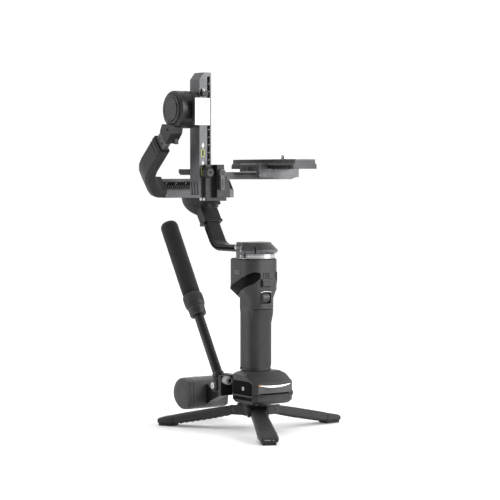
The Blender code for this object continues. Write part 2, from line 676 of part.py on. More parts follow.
def pan_arm():
    """A flat bar: level in the pan clamp, then bent up and back to the roll motor."""
    half_width, half = ARM_HALF_WIDTH, ARM_THICKNESS / 2
    reach = ARM_BEND_RADIUS * math.tan(ARM_RISE / 2)
    centre = (ARM_BEND_Y - reach, ARM_Z + ARM_BEND_RADIUS)
    bend = arc(centre, ARM_BEND_RADIUS, -90, -90 + math.degrees(ARM_RISE), 7)
    rise = Vector((math.cos(ARM_RISE), math.sin(ARM_RISE)))
    end = Vector((ARM_BEND_Y, ARM_Z)) + rise * ARM_RISE_LENGTH
    path = [(0, ARM_FRONT, ARM_Z), *[(0, y, z) for y, z in bend], (0, end.x, end.y)]
    edge = 2.0
    outline = [(-half, -half_width + edge), (-half + edge, -half_width),
               (half - edge, -half_width), (half, -half_width + edge),
               (half, half_width - edge), (half - edge, half_width),
               (-half + edge, half_width), (-half, half_width - edge)]
    add_part("pan_arm", skin(swept(path, outline, (1, 0, 0))), "black_metal", (0, 0, ARM_Z))


# roll axis

def neck_frame():
    """A frame at the pan arm's end whose Z runs on along it and whose X is world X."""
    rise = Vector((0, math.cos(ARM_RISE), math.sin(ARM_RISE)))
    start = Vector((0, ARM_BEND_Y, ARM_Z)) + rise * (ARM_RISE_LENGTH + GAP)
    return place(start, rise, (1, 0, 0))


def roll_housing():
    profile = [(BORE_RADIUS, ROLL_CAP_TO + 4), (BORE_RADIUS, ROLL_BARREL_TO),
               (ROLL_RADIUS, ROLL_BARREL_TO), (ROLL_RADIUS, ROLL_CAP_TO + GAP)]
    profile = [(2.0, ROLL_CAP_TO + 4), *profile, (2.0, ROLL_CAP_TO + GAP)]
    barrel = turned(profile, ROLL_FRAME, hollow=True)
    frame = neck_frame()
    collar = block((-14.2, 14.2), (-7.4, 7.4), (0, 3.0), frame)
    sleeve = block((-13.4, 13.4), (-6.6, 6.6), (2.0, 27.0), frame)
    cap_room = turned([(27, -6), (27, ROLL_CAP_TO + GAP)], ROLL_FRAME)
    housing = joined_bodies(barrel, cut_from(sleeve, cap_room), collar)
    add_part("roll_housing", housing, "black_metal", ROLL_REAR)


def roll_rear_cap():
    r = ROLL_RADIUS
    profile = [(r - 7, 0), (r - 2.0, 1.2), (r - 0.4, 3.2), (r, 4.2), (r, ROLL_CAP_TO)]
    add_part("roll_rear_cap", turned(profile, ROLL_FRAME), "black_plastic", ROLL_REAR)


def roll_rotor():
    """The rotor disc and the clamp that the roll arm's rail slides in."""
    low, high = ROLL_BARREL_TO + GAP, ROLL_ROTOR_TO
    r = ROLL_RADIUS
    disc = turned([(r - 0.8, low), (r, low + 0.8), (r, high - 1.2), (r - 1.2, high)], ROLL_FRAME)
    seat = block((-20, 20), (-22.4, 6.0), (high - 2, ROLL_CLAMP_TO), ROLL_FRAME)
    jaw = block((-22, 10), (81.5, 96.0), (RAIL_LOW - 4.6, RAIL_LOW - GAP))
    add_part("roll_rotor", joined_bodies(disc, seat, jaw), "black_metal", ROLL_REAR)


def roll_shaft():
    end = ROLL_BARREL_TO
    shaft = turned([(SHAFT_RADIUS, 14), (SHAFT_RADIUS, end - 3), (8.5, end - 3), (8.5, end)],
                   ROLL_FRAME, COARSE)
    add_part("roll_shaft", shaft, "grey_metal", ROLL_REAR)


def roll_lock_knob():
    """A round knob under the clamp's jaw that locks the rail."""
    pivot = (-6, 88.5, RAIL_LOW - 4.6 - GAP)
    profile = [(4.6, -8.6), (6.4, -8.0), (6.6, -5.4), (8.6, -4.4), (8.8, -1.0), (8.0, 0.0)]
    frame = place(pivot, (0, 0, 1), (1, 0, 0))
    add_part("roll_lock_knob", turned(profile, frame, 24), "black_metal", pivot)


def rail_section():
    """The rail's section as (y, z): upright below, leaning back above."""
    low, high = RAIL_LOW, RAIL_HIGH
    return [(79, low), (79, low + 9.5), (88.5, high - 2), (91, high), (97, high),
            (99, high - 3), (86, low + 7), (86, low)]


def roll_rail():
    frame = place((0, 0, 0), (1, 0, 0), (0, 1, 0))
    rail = prism(rail_section(), RAIL_FROM_X, RAIL_TO_X, frame)
    add_part("roll_rail", rail, "grey_metal", ROLL_REAR)


def link_path(stop):
    """The roll link's centre line: along the rail, round its turn, then along the roll axis."""
    points = [(LINK_START_X, LINK_ALONG), *LINK_TURN, (LINK_X, 99.0), (LINK_X, stop)]
    return [ROLL_REAR + Vector((x, 0, 0)) + ROLL_ALONG * t + ROLL_UP * LINK_DROP
            for x, t in points]


def flat_outline(half_thickness, half_depth, edge):
    t, d = half_thickness, half_depth
    return [(-t, -d + edge), (-t + edge, -d), (t - edge, -d), (t, -d + edge),
            (t, d - edge), (t - edge, d), (-t + edge, d), (-t, d - edge)]


def roll_link():
    """The cast link from the rail's end round and forward to the tilt motor."""
    path = link_path(150.0)
    outline = flat_outline(LINK_HALF_THICKNESS, LINK_HALF_DEPTH, 1.5)
    add_part("roll_link", skin(swept(path, outline, ROLL_UP)), "grey_metal", ROLL_REAR)


def link_cover():
    """A plastic sleeve round the link's bend."""
    path = link_path(138.0)
    outer = swept(path, flat_outline(COVER_HALF_THICKNESS, COVER_HALF_DEPTH, 3.2), ROLL_UP)
    clear = flat_outline(LINK_HALF_THICKNESS + GAP, LINK_HALF_DEPTH + GAP, 1.2)
    inner = swept(path, clear, ROLL_UP)
    add_part("link_cover", skin(outer + inner[::-1], joined=True), "black_plastic", ROLL_REAR)


# tilt axis

def tilt_housing():
    """The tilt motor's body and the tail that the roll link is bolted to."""
    length = TILT_INNER_X - TILT_OUTER_X
    frame = across(TILT_OUTER_X, 0, TILT_Z)
    r = TILT_RADIUS
    profile = [(2.0, 5.0), (BORE_RADIUS, 5.0), (BORE_RADIUS, length), (r - 1, length),
               (r, length - 1), (r, 1.6), (r - 1.6, 0), (2.0, 0)]
    barrel = turned(profile, frame, hollow=True)
    tail = [(-8.0, -14.0), (-4.5, -30.0), (7.6, -42.6), (21.0, -27.0), (17.0, -12.0)]
    inner_tail = prism(tail, 3.6, 12.2, frame)
    outer = [(-6.0, -20.0), (-4.5, -30.0), (7.6, -42.6), (21.0, -27.0), (16.0, -18.0)]
    outer_tail = prism(outer, -5.0, 4.0, frame)
    housing = joined_bodies(barrel, inner_tail, outer_tail)
    add_part("tilt_housing", housing, "black_metal", frame.translation)


def tilt_cap():
    frame = place((TILT_OUTER_X - GAP, 0, TILT_Z), (-1, 0, 0), (0, 1, 0))
    profile = [(18.6, 0), (18.6, 1.0), (16.4, 1.9), (15.0, 1.2), (14.4, 2.6)]
    add_part("tilt_cap", turned(profile, frame), "black_plastic", (0, 0, TILT_Z))


def tilt_shaft():
    frame = across(TILT_OUTER_X, 0, TILT_Z)
    length = TILT_INNER_X - TILT_OUTER_X
    profile = [(SHAFT_RADIUS, 9), (SHAFT_RADIUS, length + GAP), (20.5, length + GAP),
               (21.5, length + 1.3), (21.5, length + 4.2), (20.5, length + 5.1)]
    add_part("tilt_shaft", turned(profile, frame, 28), "black_metal", (0, 0, TILT_Z))


def upright_arm():
    """The upright of the camera frame, with its top outer corner cut off."""
    outer, inner = ARM_OUTER_X, ARM_INNER_X
    low, high = UPRIGHT_LOW, UPRIGHT_HIGH
    outline = [(outer, low + 3), (outer + 3, low), (inner, low), (inner, high),
               (outer + 7, high), (outer, high - 9)]
    frame = place((0, 0, 0), (0, 1, 0), (1, 0, 0))
    flipped = [(x, -z) for x, z in outline]
    upright = prism(flipped, UPRIGHT_FRONT, UPRIGHT_REAR, frame)
    add_part("upright_arm", upright, "grey_metal", (0, 0, TILT_Z))


def fill_light():
    """The lamp in front of the tilt motor, on a short stem from the upright."""
    x, z = LIGHT_X, LIGHT_Z
    body = block((x[0], x[1]), (LIGHT_FRONT + 1.6, LIGHT_BACK), (z[0], z[1]))
    stem = block((ARM_OUTER_X, x[1] - 1), (LIGHT_BACK - 1, UPRIGHT_FRONT - GAP),
                 (z[0] + 10, z[1] - 10))
    add_part("fill_light", joined_bodies(body, stem), "black_plastic", (0, 0, TILT_Z))
    front = (LIGHT_FRONT, LIGHT_FRONT + 1.3)
    panel = block((x[0] + 0.4, x[1] - 0.4), front, (z[0] + 0.4, z[1] - 0.4))
    add_part("fill_light_panel", panel, "lamp_white", (0, 0, TILT_Z))


# camera carriage

def plate_bracket():
    """The block that runs up and down the upright and carries the camera bar."""
    inner, lip = ARM_INNER_X + GAP, BRACKET_LIP_Y
    plan = [(BRACKET_LIP_X, lip), (inner, lip), (inner, BRACKET_FRONT),
            (BRACKET_INNER_X, BRACKET_FRONT), (BRACKET_INNER_X, BRACKET_REAR),
            (inner, BRACKET_REAR), (inner, UPRIGHT_FRONT - GAP),
            (BRACKET_LIP_X, UPRIGHT_FRONT - GAP)]
    body = prism(plan, BRACKET_LOW, BRACKET_HIGH)
    slot = block((inner + 3, 0), (BAR_FRONT - GAP, 60), (BAR_LOW - GAP, BAR_HIGH + GAP))
    corner = [(-58, 298), (-40, 298), (-40, 340), (-67, 340), (-67, 320)]
    lying = place((0, 0, 0), (0, 1, 0), (1, 0, 0))
    chamfer = prism([(x, -z) for x, z in corner], -40, 40, lying)
    pivot = (ARM_INNER_X, 0, BRACKET_LOW)
    add_part("plate_bracket", cut_from(body, slot, chamfer), "black_metal", pivot)


def height_knob():
    frame = place((-89.4, BRACKET_LIP_Y - GAP, 315.0), (0, -1, 0), (1, 0, 0))
    profile = [(5.0, 0), (6.6, 1.2), (6.6, 7.2), (5.4, 8.4)]
    add_part("height_knob", turned(profile, frame, 24), "black_rubber", frame.translation)


def slide_lever():
    """The lever that locks the camera bar: a ring with a handle hanging from it."""
    pivot = (-72.4, BRACKET_FRONT - GAP, 314.6)
    frame = place(pivot, (0, -1, 0), (1, 0, 0))
    outline = [*arc((0, 0), 4.6, -50, 230, 13), (-2.3, -21.0), (2.3, -21.0)]
    lever = prism(outline, 0, 4.6, frame)
    add_part("slide_lever", lever, "silver_metal", pivot)


def camera_bar():
    """The bar that slides sideways in the bracket, with a tail that runs back behind it."""
    lying = place((0, 0, 0), (0, 1, 0), (1, 0, 0))
    side = [(BAR_LEFT, BAR_LOW), (BAR_RIGHT - 8, BAR_LOW), (BAR_RIGHT, BAR_LOW + 3),
            (BAR_RIGHT, BAR_HIGH), (BAR_LEFT, BAR_HIGH)]
    bar = prism([(x, -z) for x, z in side], BAR_FRONT, BAR_REAR, lying)
    low, high = TAIL_LOW, TAIL_HIGH
    tail = [(BRACKET_REAR + GAP, low), (TAIL_REAR - 4, low), (TAIL_REAR, low + 3.5),
            (TAIL_REAR, high), (BRACKET_REAR + GAP, high)]
    tail = prism(tail, TAIL_LEFT, TAIL_LEFT + 11, place((0, 0, 0), (1, 0, 0), (0, 1, 0)))
    add_part("camera_bar", joined_bodies(bar, tail), "grey_metal", (0, 0, BAR_LOW))


def plate_receiver():
    """The clamp on the bar that takes the camera plate, with a lip down its front."""
    half, channel = RECEIVER_HALF_WIDTH, PLATE_HALF_WIDTH + GAP
    front, rear, lip = RECEIVER_FRONT, RECEIVER_REAR, RECEIVER_FRONT + RECEIVER_LIP
    high, edge = RECEIVER_HIGH, 1.5
    section = [(-half, BAR_HIGH + GAP), (half, BAR_HIGH + GAP), (half, high - edge),
               (half - edge, high), (-half + edge, high), (-half, high - edge)]
    lying = place((0, 0, 0), (0, 1, 0), (1, 0, 0))
    body = prism([(x, -z) for x, z in section], lip - 1, rear, lying)
    wall = block((-half, half), (front, lip), (RECEIVER_LIP_LOW, high))
    groove = block((-channel, channel), (-90, 40), (PLATE_LOW - GAP, 360))
    receiver = cut_from(joined_bodies(body, wall), groove)
    add_part("plate_receiver", receiver, "grey_metal", (0, rear, BAR_HIGH))


def plate_lever():
    """The lever on the receiver's far side that clamps the camera plate."""
    pivot = (RECEIVER_HALF_WIDTH + GAP, -16.0, 321.0)
    frame = place(pivot, (1, 0, 0), (0, 1, 0))
    outline = [*arc((0, 0), 4.4, -120, 120, 11), (-27.0, 2.4), (-27.0, -2.4)]
    add_part("plate_lever", prism(outline, 0, 4.0, frame), "black_metal", pivot)


def quick_plate():
    """The long camera plate, with a slot for its screw and a socket in its nose."""
    half, low, high = PLATE_HALF_WIDTH, PLATE_LOW, PLATE_HIGH
    section = [(-half, low), (half, low), (half, low + 5.0), (half - 2.4, low + 7.5),
               (half - 2.4, high), (-half + 2.4, high), (-half + 2.4, low + 7.5),
               (-half, low + 5.0)]
    lying = place((0, 0, 0), (0, 1, 0), (1, 0, 0))
    body = prism([(x, -z) for x, z in section], PLATE_FRONT, PLATE_REAR, lying)
    slot = block((-3.6, 3.6), (-92, 12), (low - 1, high + 1))
    recess = block((-7.6, 7.6), (-96, 16), (low - 1, low + 4.4))
    socket = block((-4.6, -0.8), (PLATE_FRONT - 1, PLATE_FRONT + 6), (low + 3.4, low + 7.2))
    plate = cut_from(body, slot, recess, socket)
    add_part("quick_plate", plate, "grey_metal", (0, 0, PLATE_LOW))


def camera_screw():
    frame = place((0, SCREW_Y, PLATE_LOW + GAP), (0, 0, 1), (1, 0, 0))
    profile = [(6.8, 0), (6.8, 3.4), (3.1, 3.4), (3.1, 16.4), (2.4, 17.4)]
    add_part("camera_screw", turned(profile, frame, COARSE), "silver_metal", frame.translation)


clear_scene()
PAINT = make_materials()

tripod_hub()
for leg_number, leg_turn in enumerate(LEG_TURNS, start=1):
    tripod_leg(leg_number, leg_turn)

base_housing()
light_strip()
rear_mount()
mount_thumbscrew()
hinge_knob()
rest_arm()
wrist_pad()
sling_rod()
twist_collar()
sling_foam()

grip_shells()
grip_pad()
battery_cells()
head_shell()
rear_controls()
display_window()
front_trigger()
front_dial()
inlay_band("inlay_left", 1)
inlay_band("inlay_right", -1)
control_board()

pan_motor_ring()
pan_shaft()
pan_clamp()
pan_lock_lever()
pan_arm()

roll_housing()
roll_rear_cap()
roll_rotor()
roll_shaft()
roll_lock_knob()
roll_rail()
roll_link()
link_cover()

tilt_housing()
tilt_cap()
tilt_shaft()
upright_arm()
fill_light()

plate_bracket()
height_knob()
slide_lever()
camera_bar()
plate_receiver()
plate_lever()
quick_plate()
camera_screw()
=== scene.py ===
"""Looks for the gimbal stabilizer: materials for every CAD node, and the fine detail that rides on them.

Lengths are in millimetres while a piece is built and become metres when it is added. +X is the side away
from the tilt motor, -Y is the way the camera looks and +Z is up, as in the CAD frame.
"""

import json
import math

import bmesh
import bpy
from mathutils import Matrix, Vector, noise


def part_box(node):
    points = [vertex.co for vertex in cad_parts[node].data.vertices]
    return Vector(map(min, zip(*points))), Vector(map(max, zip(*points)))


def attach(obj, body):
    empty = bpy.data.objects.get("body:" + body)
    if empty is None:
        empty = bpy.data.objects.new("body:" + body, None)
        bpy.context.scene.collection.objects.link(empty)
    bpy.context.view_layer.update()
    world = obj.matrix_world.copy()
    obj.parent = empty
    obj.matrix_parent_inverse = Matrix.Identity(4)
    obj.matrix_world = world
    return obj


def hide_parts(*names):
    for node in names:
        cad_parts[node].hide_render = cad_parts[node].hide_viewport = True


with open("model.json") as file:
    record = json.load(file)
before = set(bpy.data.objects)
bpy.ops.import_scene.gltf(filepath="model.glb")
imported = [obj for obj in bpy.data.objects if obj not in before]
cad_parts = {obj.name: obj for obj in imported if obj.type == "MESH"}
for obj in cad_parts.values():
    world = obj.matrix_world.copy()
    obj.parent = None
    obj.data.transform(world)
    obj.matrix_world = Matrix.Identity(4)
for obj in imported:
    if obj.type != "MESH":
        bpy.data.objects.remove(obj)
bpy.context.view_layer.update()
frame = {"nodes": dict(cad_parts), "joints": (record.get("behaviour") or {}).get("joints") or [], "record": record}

MM = 0.001
UPWARD = Matrix.Identity(4)


# frames and outlines

def place(origin, along, side):
    """A frame at origin whose Z runs along one way and whose X is the side way."""
    z = Vector(along).normalized()
    x = Vector(side).normalized()
    y = z.cross(x)
    return Matrix.Translation(Vector(origin)) @ Matrix((x, y, z)).transposed().to_4x4()


def arc(centre, radius, start, stop, count):
    """Points on an arc, both ends included; angles in degrees."""
    turns = [math.radians(start + (stop - start) * i / (count - 1)) for i in range(count)]
    return [(centre[0] + radius * math.cos(t), centre[1] + radius * math.sin(t)) for t in turns]


def rounded(half_width, front, rear, corner, count=7):
    """A rounded rectangle in plan."""
    x, back, fore = half_width - corner, rear - corner, front + corner
    return (arc((x, back), corner, 0, 90, count) + arc((-x, back), corner, 90, 180, count)
            + arc((-x, fore), corner, 180, 270, count) + arc((x, fore), corner, 270, 360, count))


def box_outline(left, low, right, high):
    return [(left, low), (right, low), (right, high), (left, high)]


def facing(axis, x, y, z):
    """A frame on a surface at a point, looking out along one of the axes."""
    along = {"-x": (-1, 0, 0), "+x": (1, 0, 0), "-y": (0, -1, 0), "+y": (0, 1, 0),
             "-z": (0, 0, -1), "+z": (0, 0, 1)}[axis]
    side = (0, 1, 0) if axis[1] == "x" else (1, 0, 0)
    return place((x, y, z), along, side)


def extent(node):
    """A CAD node's lowest and highest corners, in millimetres."""
    low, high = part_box(node)
    return Vector(low) / MM, Vector(high) / MM


# the joints' own lines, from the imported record

JOINTS = {joint["name"]: joint for joint in frame["joints"]}


def joint_point(name):
    return Vector(JOINTS[name]["pos_m"]) / MM


def joint_along(name):
    return Vector(JOINTS[name]["axis"]).normalized()


ROLL_POINT, ROLL_ALONG = joint_point("roll"), joint_along("roll")
ROLL_UP = ROLL_ALONG.cross(Vector((1, 0, 0)))
ROLL_FRAME = place(ROLL_POINT, ROLL_ALONG, (1, 0, 0))
SLING_FRAME = place(joint_point("sling_fold"), joint_along("collar_twist"), (1, 0, 0))
TILT_POINT = joint_point("tilt")


# materials

def tree_of(name):
    material = bpy.data.materials.new(name)
    material.use_nodes = True
    tree = material.node_tree
    return material, tree, tree.nodes["Principled BSDF"]


def node(tree, kind, **values):
    made = tree.nodes.new(kind)
    for key, value in values.items():
        if key in made.inputs:
            made.inputs[key].default_value = value
        else:
            setattr(made, key, value)
    return made


def noise_at(tree, scale, detail=3.0, stretch=(1, 1, 1)):
    """Noise in the object's own space, where one unit is a metre."""
    place_at = node(tree, "ShaderNodeTexCoord")
    mapping = node(tree, "ShaderNodeMapping", Scale=stretch)
    tree.links.new(place_at.outputs["Object"], mapping.inputs["Vector"])
    made = node(tree, "ShaderNodeTexNoise", Scale=scale, Detail=detail)
    tree.links.new(mapping.outputs["Vector"], made.inputs["Vector"])
    return made.outputs["Fac"]


def blend_colours(tree, factor, first, second):
    mix = node(tree, "ShaderNodeMix", data_type="RGBA")
    for socket, value in ((6, first), (7, second)):
        if isinstance(value, bpy.types.NodeSocket):
            tree.links.new(value, mix.inputs[socket])
        else:
            mix.inputs[socket].default_value = (*value, 1.0)
    tree.links.new(factor, mix.inputs[0])
    return mix.outputs[2]


def spread(tree, value, low, high, start=0.35, stop=0.65):
    made = node(tree, "ShaderNodeMapRange")
    for socket, number in ((1, start), (2, stop), (3, low), (4, high)):
        made.inputs[socket].default_value = number
    tree.links.new(value, made.inputs[0])
    return made.outputs[0]


def edge_mask(tree, radius):
    """How far the rounded normal leans from the true one: 1 on worn edges, 0 on flats."""
    bevel = node(tree, "ShaderNodeBevel", samples=4, Radius=radius)
    geometry = node(tree, "ShaderNodeNewGeometry")
    lean = node(tree, "ShaderNodeVectorMath", operation="DOT_PRODUCT")
    tree.links.new(bevel.outputs[0], lean.inputs[0])
    tree.links.new(geometry.outputs["Normal"], lean.inputs[1])
    return bevel.outputs[0], spread(tree, lean.outputs["Value"], 1.0, 0.0, 0.90, 0.995)


def surface(name, colour, roughness, metallic=0.0, grain=1400.0, bump=0.06, variation=0.25,
            wear=None, edge=0.0004, stretch=(1, 1, 1), specular=0.4, sheen=0.0, pattern=None):
    """A solid finish: cloudy colour, fine grain in the bump and roughness, and edges worn lighter."""
    material, tree, shader = tree_of(name)
    dark = tuple(c * (1 - variation) for c in colour)
    light = tuple(min(c * (1 + variation), 1.0) for c in colour)
    cloud = noise_at(tree, 55.0, 4.0)
    fine = noise_at(tree, grain, 2.0, stretch)
    tint = blend_colours(tree, spread(tree, cloud, 0.0, 1.0), dark, light)
    tint = blend_colours(tree, spread(tree, fine, 0.0, 0.5), tint, light)
    rounded_normal, worn = edge_mask(tree, edge)
    if wear:
        tint = blend_colours(tree, worn, tint, wear)
    tree.links.new(tint, shader.inputs["Base Color"])
    rough = spread(tree, fine, max(roughness - 0.07, 0.03), min(roughness + 0.07, 1.0))
    tree.links.new(rough, shader.inputs["Roughness"])
    height = pattern(tree) if pattern else fine
    raised = node(tree, "ShaderNodeBump", Strength=bump, Distance=0.0004)
    tree.links.new(height, raised.inputs["Height"])
    tree.links.new(rounded_normal, raised.inputs["Normal"])
    tree.links.new(raised.outputs[0], shader.inputs["Normal"])
    shader.inputs["Metallic"].default_value = metallic
    shader.inputs["Specular IOR Level"].default_value = specular
    shader.inputs["Sheen Weight"].default_value = sheen
    shader.inputs["Sheen Roughness"].default_value = 0.5
    return material


def foam_cells(tree):
    cells = node(tree, "ShaderNodeTexVoronoi", Scale=900.0)
    where = node(tree, "ShaderNodeTexCoord")
    tree.links.new(where.outputs["Object"], cells.inputs["Vector"])
    return cells.outputs["Distance"]


def weave(tree):
    """Two crossed sets of yarns, from waves in the object's space."""
    where = node(tree, "ShaderNodeTexCoord")
    crossed = []
    for direction in ("X", "Z"):
        wave = node(tree, "ShaderNodeTexWave", Scale=420.0, Distortion=0.4,
                    wave_type="BANDS", bands_direction=direction)
        tree.links.new(where.outputs["Object"], wave.inputs["Vector"])
        crossed.append(wave.outputs["Fac"])
    product = node(tree, "ShaderNodeMath", operation="MULTIPLY")
    tree.links.new(crossed[0], product.inputs[0])
    tree.links.new(crossed[1], product.inputs[1])
    return product.outputs[0]


def knurl(tree):
    """Small raised diamonds for rubber grips."""
    where = node(tree, "ShaderNodeTexCoord")
    turned_by = node(tree, "ShaderNodeMapping", Rotation=(0.0, math.radians(45), math.radians(45)))
    tree.links.new(where.outputs["Object"], turned_by.inputs["Vector"])
    cells = node(tree, "ShaderNodeTexVoronoi", Scale=620.0, Randomness=0.0)
    tree.links.new(turned_by.outputs["Vector"], cells.inputs["Vector"])
    return cells.outputs["Distance"]


def glowing(name, colour, strength, far_colour=None, span=(0.0, 1.0)):
    """A lit diffuser; its colour may run to another along X between two places, in metres."""
    material, tree, shader = tree_of(name)
    fine = noise_at(tree, 300.0, 2.0)
    soft = tuple(c * 0.94 for c in colour)
    tint = blend_colours(tree, spread(tree, fine, 0.0, 1.0), soft, colour)
    if far_colour:
        where = node(tree, "ShaderNodeTexCoord")
        parts = node(tree, "ShaderNodeSeparateXYZ")
        tree.links.new(where.outputs["Object"], parts.inputs[0])
        tint = blend_colours(tree, spread(tree, parts.outputs["X"], 1.0, 0.0, *span), tint, far_colour)
    tree.links.new(tint, shader.inputs["Base Color"])
    tree.links.new(tint, shader.inputs["Emission Color"])
    shader.inputs["Emission Strength"].default_value = strength
    shader.inputs["Roughness"].default_value = 0.35
    return material


EDGE_GREY = (0.10, 0.10, 0.105)
PAINTS = {
    "black_plastic": surface("moulded_plastic", (0.016, 0.016, 0.017), 0.5, wear=(0.06, 0.06, 0.062)),
    "shell_plastic": surface("shell_plastic", (0.021, 0.021, 0.0225), 0.43, grain=1100,
                             wear=(0.075, 0.075, 0.078)),
    "cover_plastic": surface("cover_plastic", (0.009, 0.009, 0.0097), 0.5, grain=1100, specular=0.3,
                             wear=(0.05, 0.05, 0.052)),
    "black_metal": surface("black_anodised", (0.018, 0.018, 0.0195), 0.36, 0.35, grain=2200, bump=0.03,
                           wear=EDGE_GREY),
    "grey_metal": surface("grey_anodised", (0.085, 0.086, 0.09), 0.4, 0.55, grain=2600, bump=0.03,
                          wear=(0.3, 0.3, 0.31)),
    "dark_metal": surface("dark_anodised", (0.04, 0.04, 0.043), 0.4, 0.5, grain=2600, bump=0.03,
                          wear=(0.16, 0.16, 0.165)),
    "silver_metal": surface("turned_alloy", (0.5, 0.5, 0.51), 0.38, 1.0, grain=900, bump=0.05,
                            variation=0.12, stretch=(1, 1, 7), wear=(0.8, 0.8, 0.8)),
    "gloss_black": surface("gloss_black", (0.003, 0.003, 0.0035), 0.22, grain=300, bump=0.01,
                           specular=0.05, wear=(0.03, 0.03, 0.032)),
    "pale_metal": surface("pale_alloy", (0.3, 0.3, 0.31), 0.42, 0.4, grain=1800, bump=0.04,
                          wear=(0.6, 0.6, 0.61)),
    "black_rubber": surface("soft_rubber", (0.014, 0.014, 0.0145), 0.68, grain=1700, bump=0.12),
    "grip_rubber": surface("grip_rubber", (0.017, 0.017, 0.0175), 0.56, bump=0.22, pattern=knurl),
    "black_foam": surface("cell_foam", (0.012, 0.012, 0.0125), 0.9, bump=0.5, pattern=foam_cells,
                          specular=0.25, sheen=0.15),
    "pad_cloth": surface("pad_cloth", (0.06, 0.06, 0.061), 0.8, bump=0.3, pattern=weave, sheen=0.3),
    "pad_skin": surface("pad_skin", (0.045, 0.045, 0.047), 0.6, bump=0.15, grain=1200),
    # near-black for grooves and seams, and also for painted shadow and painted shade sheets
    "groove_and_shade_black": surface("groove_and_shade_black", (0.003, 0.003, 0.0035), 0.8, bump=0.05, specular=0.08),
    "fascia_grey": surface("fascia_grey", (0.06, 0.06, 0.0615), 0.42, grain=1100,
                           wear=(0.12, 0.12, 0.12)),
    "mark_white": surface("mark_white", (0.82, 0.82, 0.8), 0.5, grain=700, variation=0.05),
    "mark_lime": surface("mark_lime", (0.50, 0.56, 0.10), 0.5, grain=700, variation=0.08),
    "mark_grey": surface("mark_grey", (0.24, 0.24, 0.245), 0.5, grain=700, variation=0.1),
    "green_board": surface("circuit_board", (0.02, 0.12, 0.05), 0.4, grain=500, variation=0.5),
    "cell_wrap": surface("cell_wrap", (0.05, 0.16, 0.34), 0.35, grain=200, variation=0.15),
    "lamp_white": glowing("lamp_panel", (1.0, 0.93, 0.82), 0.75),
    "strip_glow": glowing("strip_glow", (1.0, 0.97, 0.93), 1.3, (1.0, 0.42, 0.14), (-0.0245, -0.018)),
    "screen_glow": glowing("screen_glow", (0.5, 0.75, 0.9), 0.8),
}

NODE_PAINTS = {
    "grip_shell": "shell_plastic", "battery_door": "shell_plastic", "head_shell": "shell_plastic",
    "grip_pad": "grip_rubber", "light_strip": "strip_glow", "roll_link": "grey_metal",
    "link_cover": "cover_plastic", "quick_plate": "dark_metal", "slide_lever": "grey_metal",
    "base_housing": "shell_plastic", "front_dial": "dark_metal", "mount_thumbscrew": "pale_metal",
    "pan_clamp": "grey_metal", "plate_receiver": "grey_metal",
}


def smoothing_group():
    """Joins the CAD's facets and shades their shallow steps smooth, sharp where they turn a corner."""
    group = bpy.data.node_groups.new("smooth_facets", "GeometryNodeTree")
    group.interface.new_socket("Geometry", in_out="INPUT", socket_type="NodeSocketGeometry")
    group.interface.new_socket("Geometry", in_out="OUTPUT", socket_type="NodeSocketGeometry")
    nodes, links = group.nodes, group.links
    entry, leave = nodes.new("NodeGroupInput"), nodes.new("NodeGroupOutput")
    weld = nodes.new("GeometryNodeMergeByDistance")
    weld.inputs["Distance"].default_value = 2e-6
    strip = nodes.new("GeometryNodeRemoveAttribute")
    strip.inputs["Name"].default_value = "custom_normal"
    faces = nodes.new("GeometryNodeSetShadeSmooth")
    faces.domain = "FACE"
    edges = nodes.new("GeometryNodeSetShadeSmooth")
    edges.domain = "EDGE"
    edges.inputs["Shade Smooth"].default_value = False
    angle = nodes.new("GeometryNodeInputMeshEdgeAngle")
    steep = nodes.new("FunctionNodeCompare")
    steep.operation = "GREATER_THAN"
    steep.inputs[1].default_value = math.radians(27)
    links.new(angle.outputs["Unsigned Angle"], steep.inputs[0])
    links.new(steep.outputs[0], edges.inputs["Selection"])
    before = entry.outputs[0]
    for step in (weld, strip, faces, edges):
        links.new(before, step.inputs["Geometry"])
        before = step.outputs["Geometry"]
    links.new(before, leave.inputs[0])
    return group


def dress_cad():
    group = smoothing_group()
    slots = {row["node"]: row["material_slot"] for row in frame["record"]["subparts"]}
    for name, obj in frame["nodes"].items():
        paint = PAINTS[NODE_PAINTS.get(name, slots[name])]
        for slot in obj.material_slots:
            slot.material = paint
        modifier = obj.modifiers.new("smooth_facets", "NODES")
        modifier.node_group = group


# building pieces

def add_piece(name, bm, paint, body, slot, smooth=35):
    """Finishes a piece: metres, clean normals, its material and its body. Its slot is not used."""
    bmesh.ops.recalc_face_normals(bm, faces=bm.faces)
    bm.transform(Matrix.Scale(MM, 4))
    mesh = bpy.data.meshes.new(name)
    bm.to_mesh(mesh)
    bm.free()
    mesh.shade_smooth()
    mesh.set_sharp_from_angle(angle=math.radians(smooth))
    mesh.materials.append(PAINTS[paint])
    obj = bpy.data.objects.new(name, mesh)
    bpy.context.scene.collection.objects.link(obj)
    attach(obj, body)
    return obj


def loft(bm, loops, closed=True):
    """Skins loops of points. Closed caps both ends; otherwise the last loop joins the first."""
    rows = [[bm.verts.new(p) for p in loop] for loop in loops]
    count = len(rows[0])
    for first, second in zip(rows, rows[1:]):
        for i in range(count):
            j = (i + 1) % count
            bm.faces.new((first[i], first[j], second[j], second[i]))
    if closed:
        bm.faces.new(rows[0][::-1])
        bm.faces.new(rows[-1])
    else:
        for i in range(count):
            j = (i + 1) % count
            bm.faces.new((rows[-1][i], rows[-1][j], rows[0][j], rows[0][i]))
    return bm


def in_frame(points, at):
    return [at @ Vector(p) for p in points]


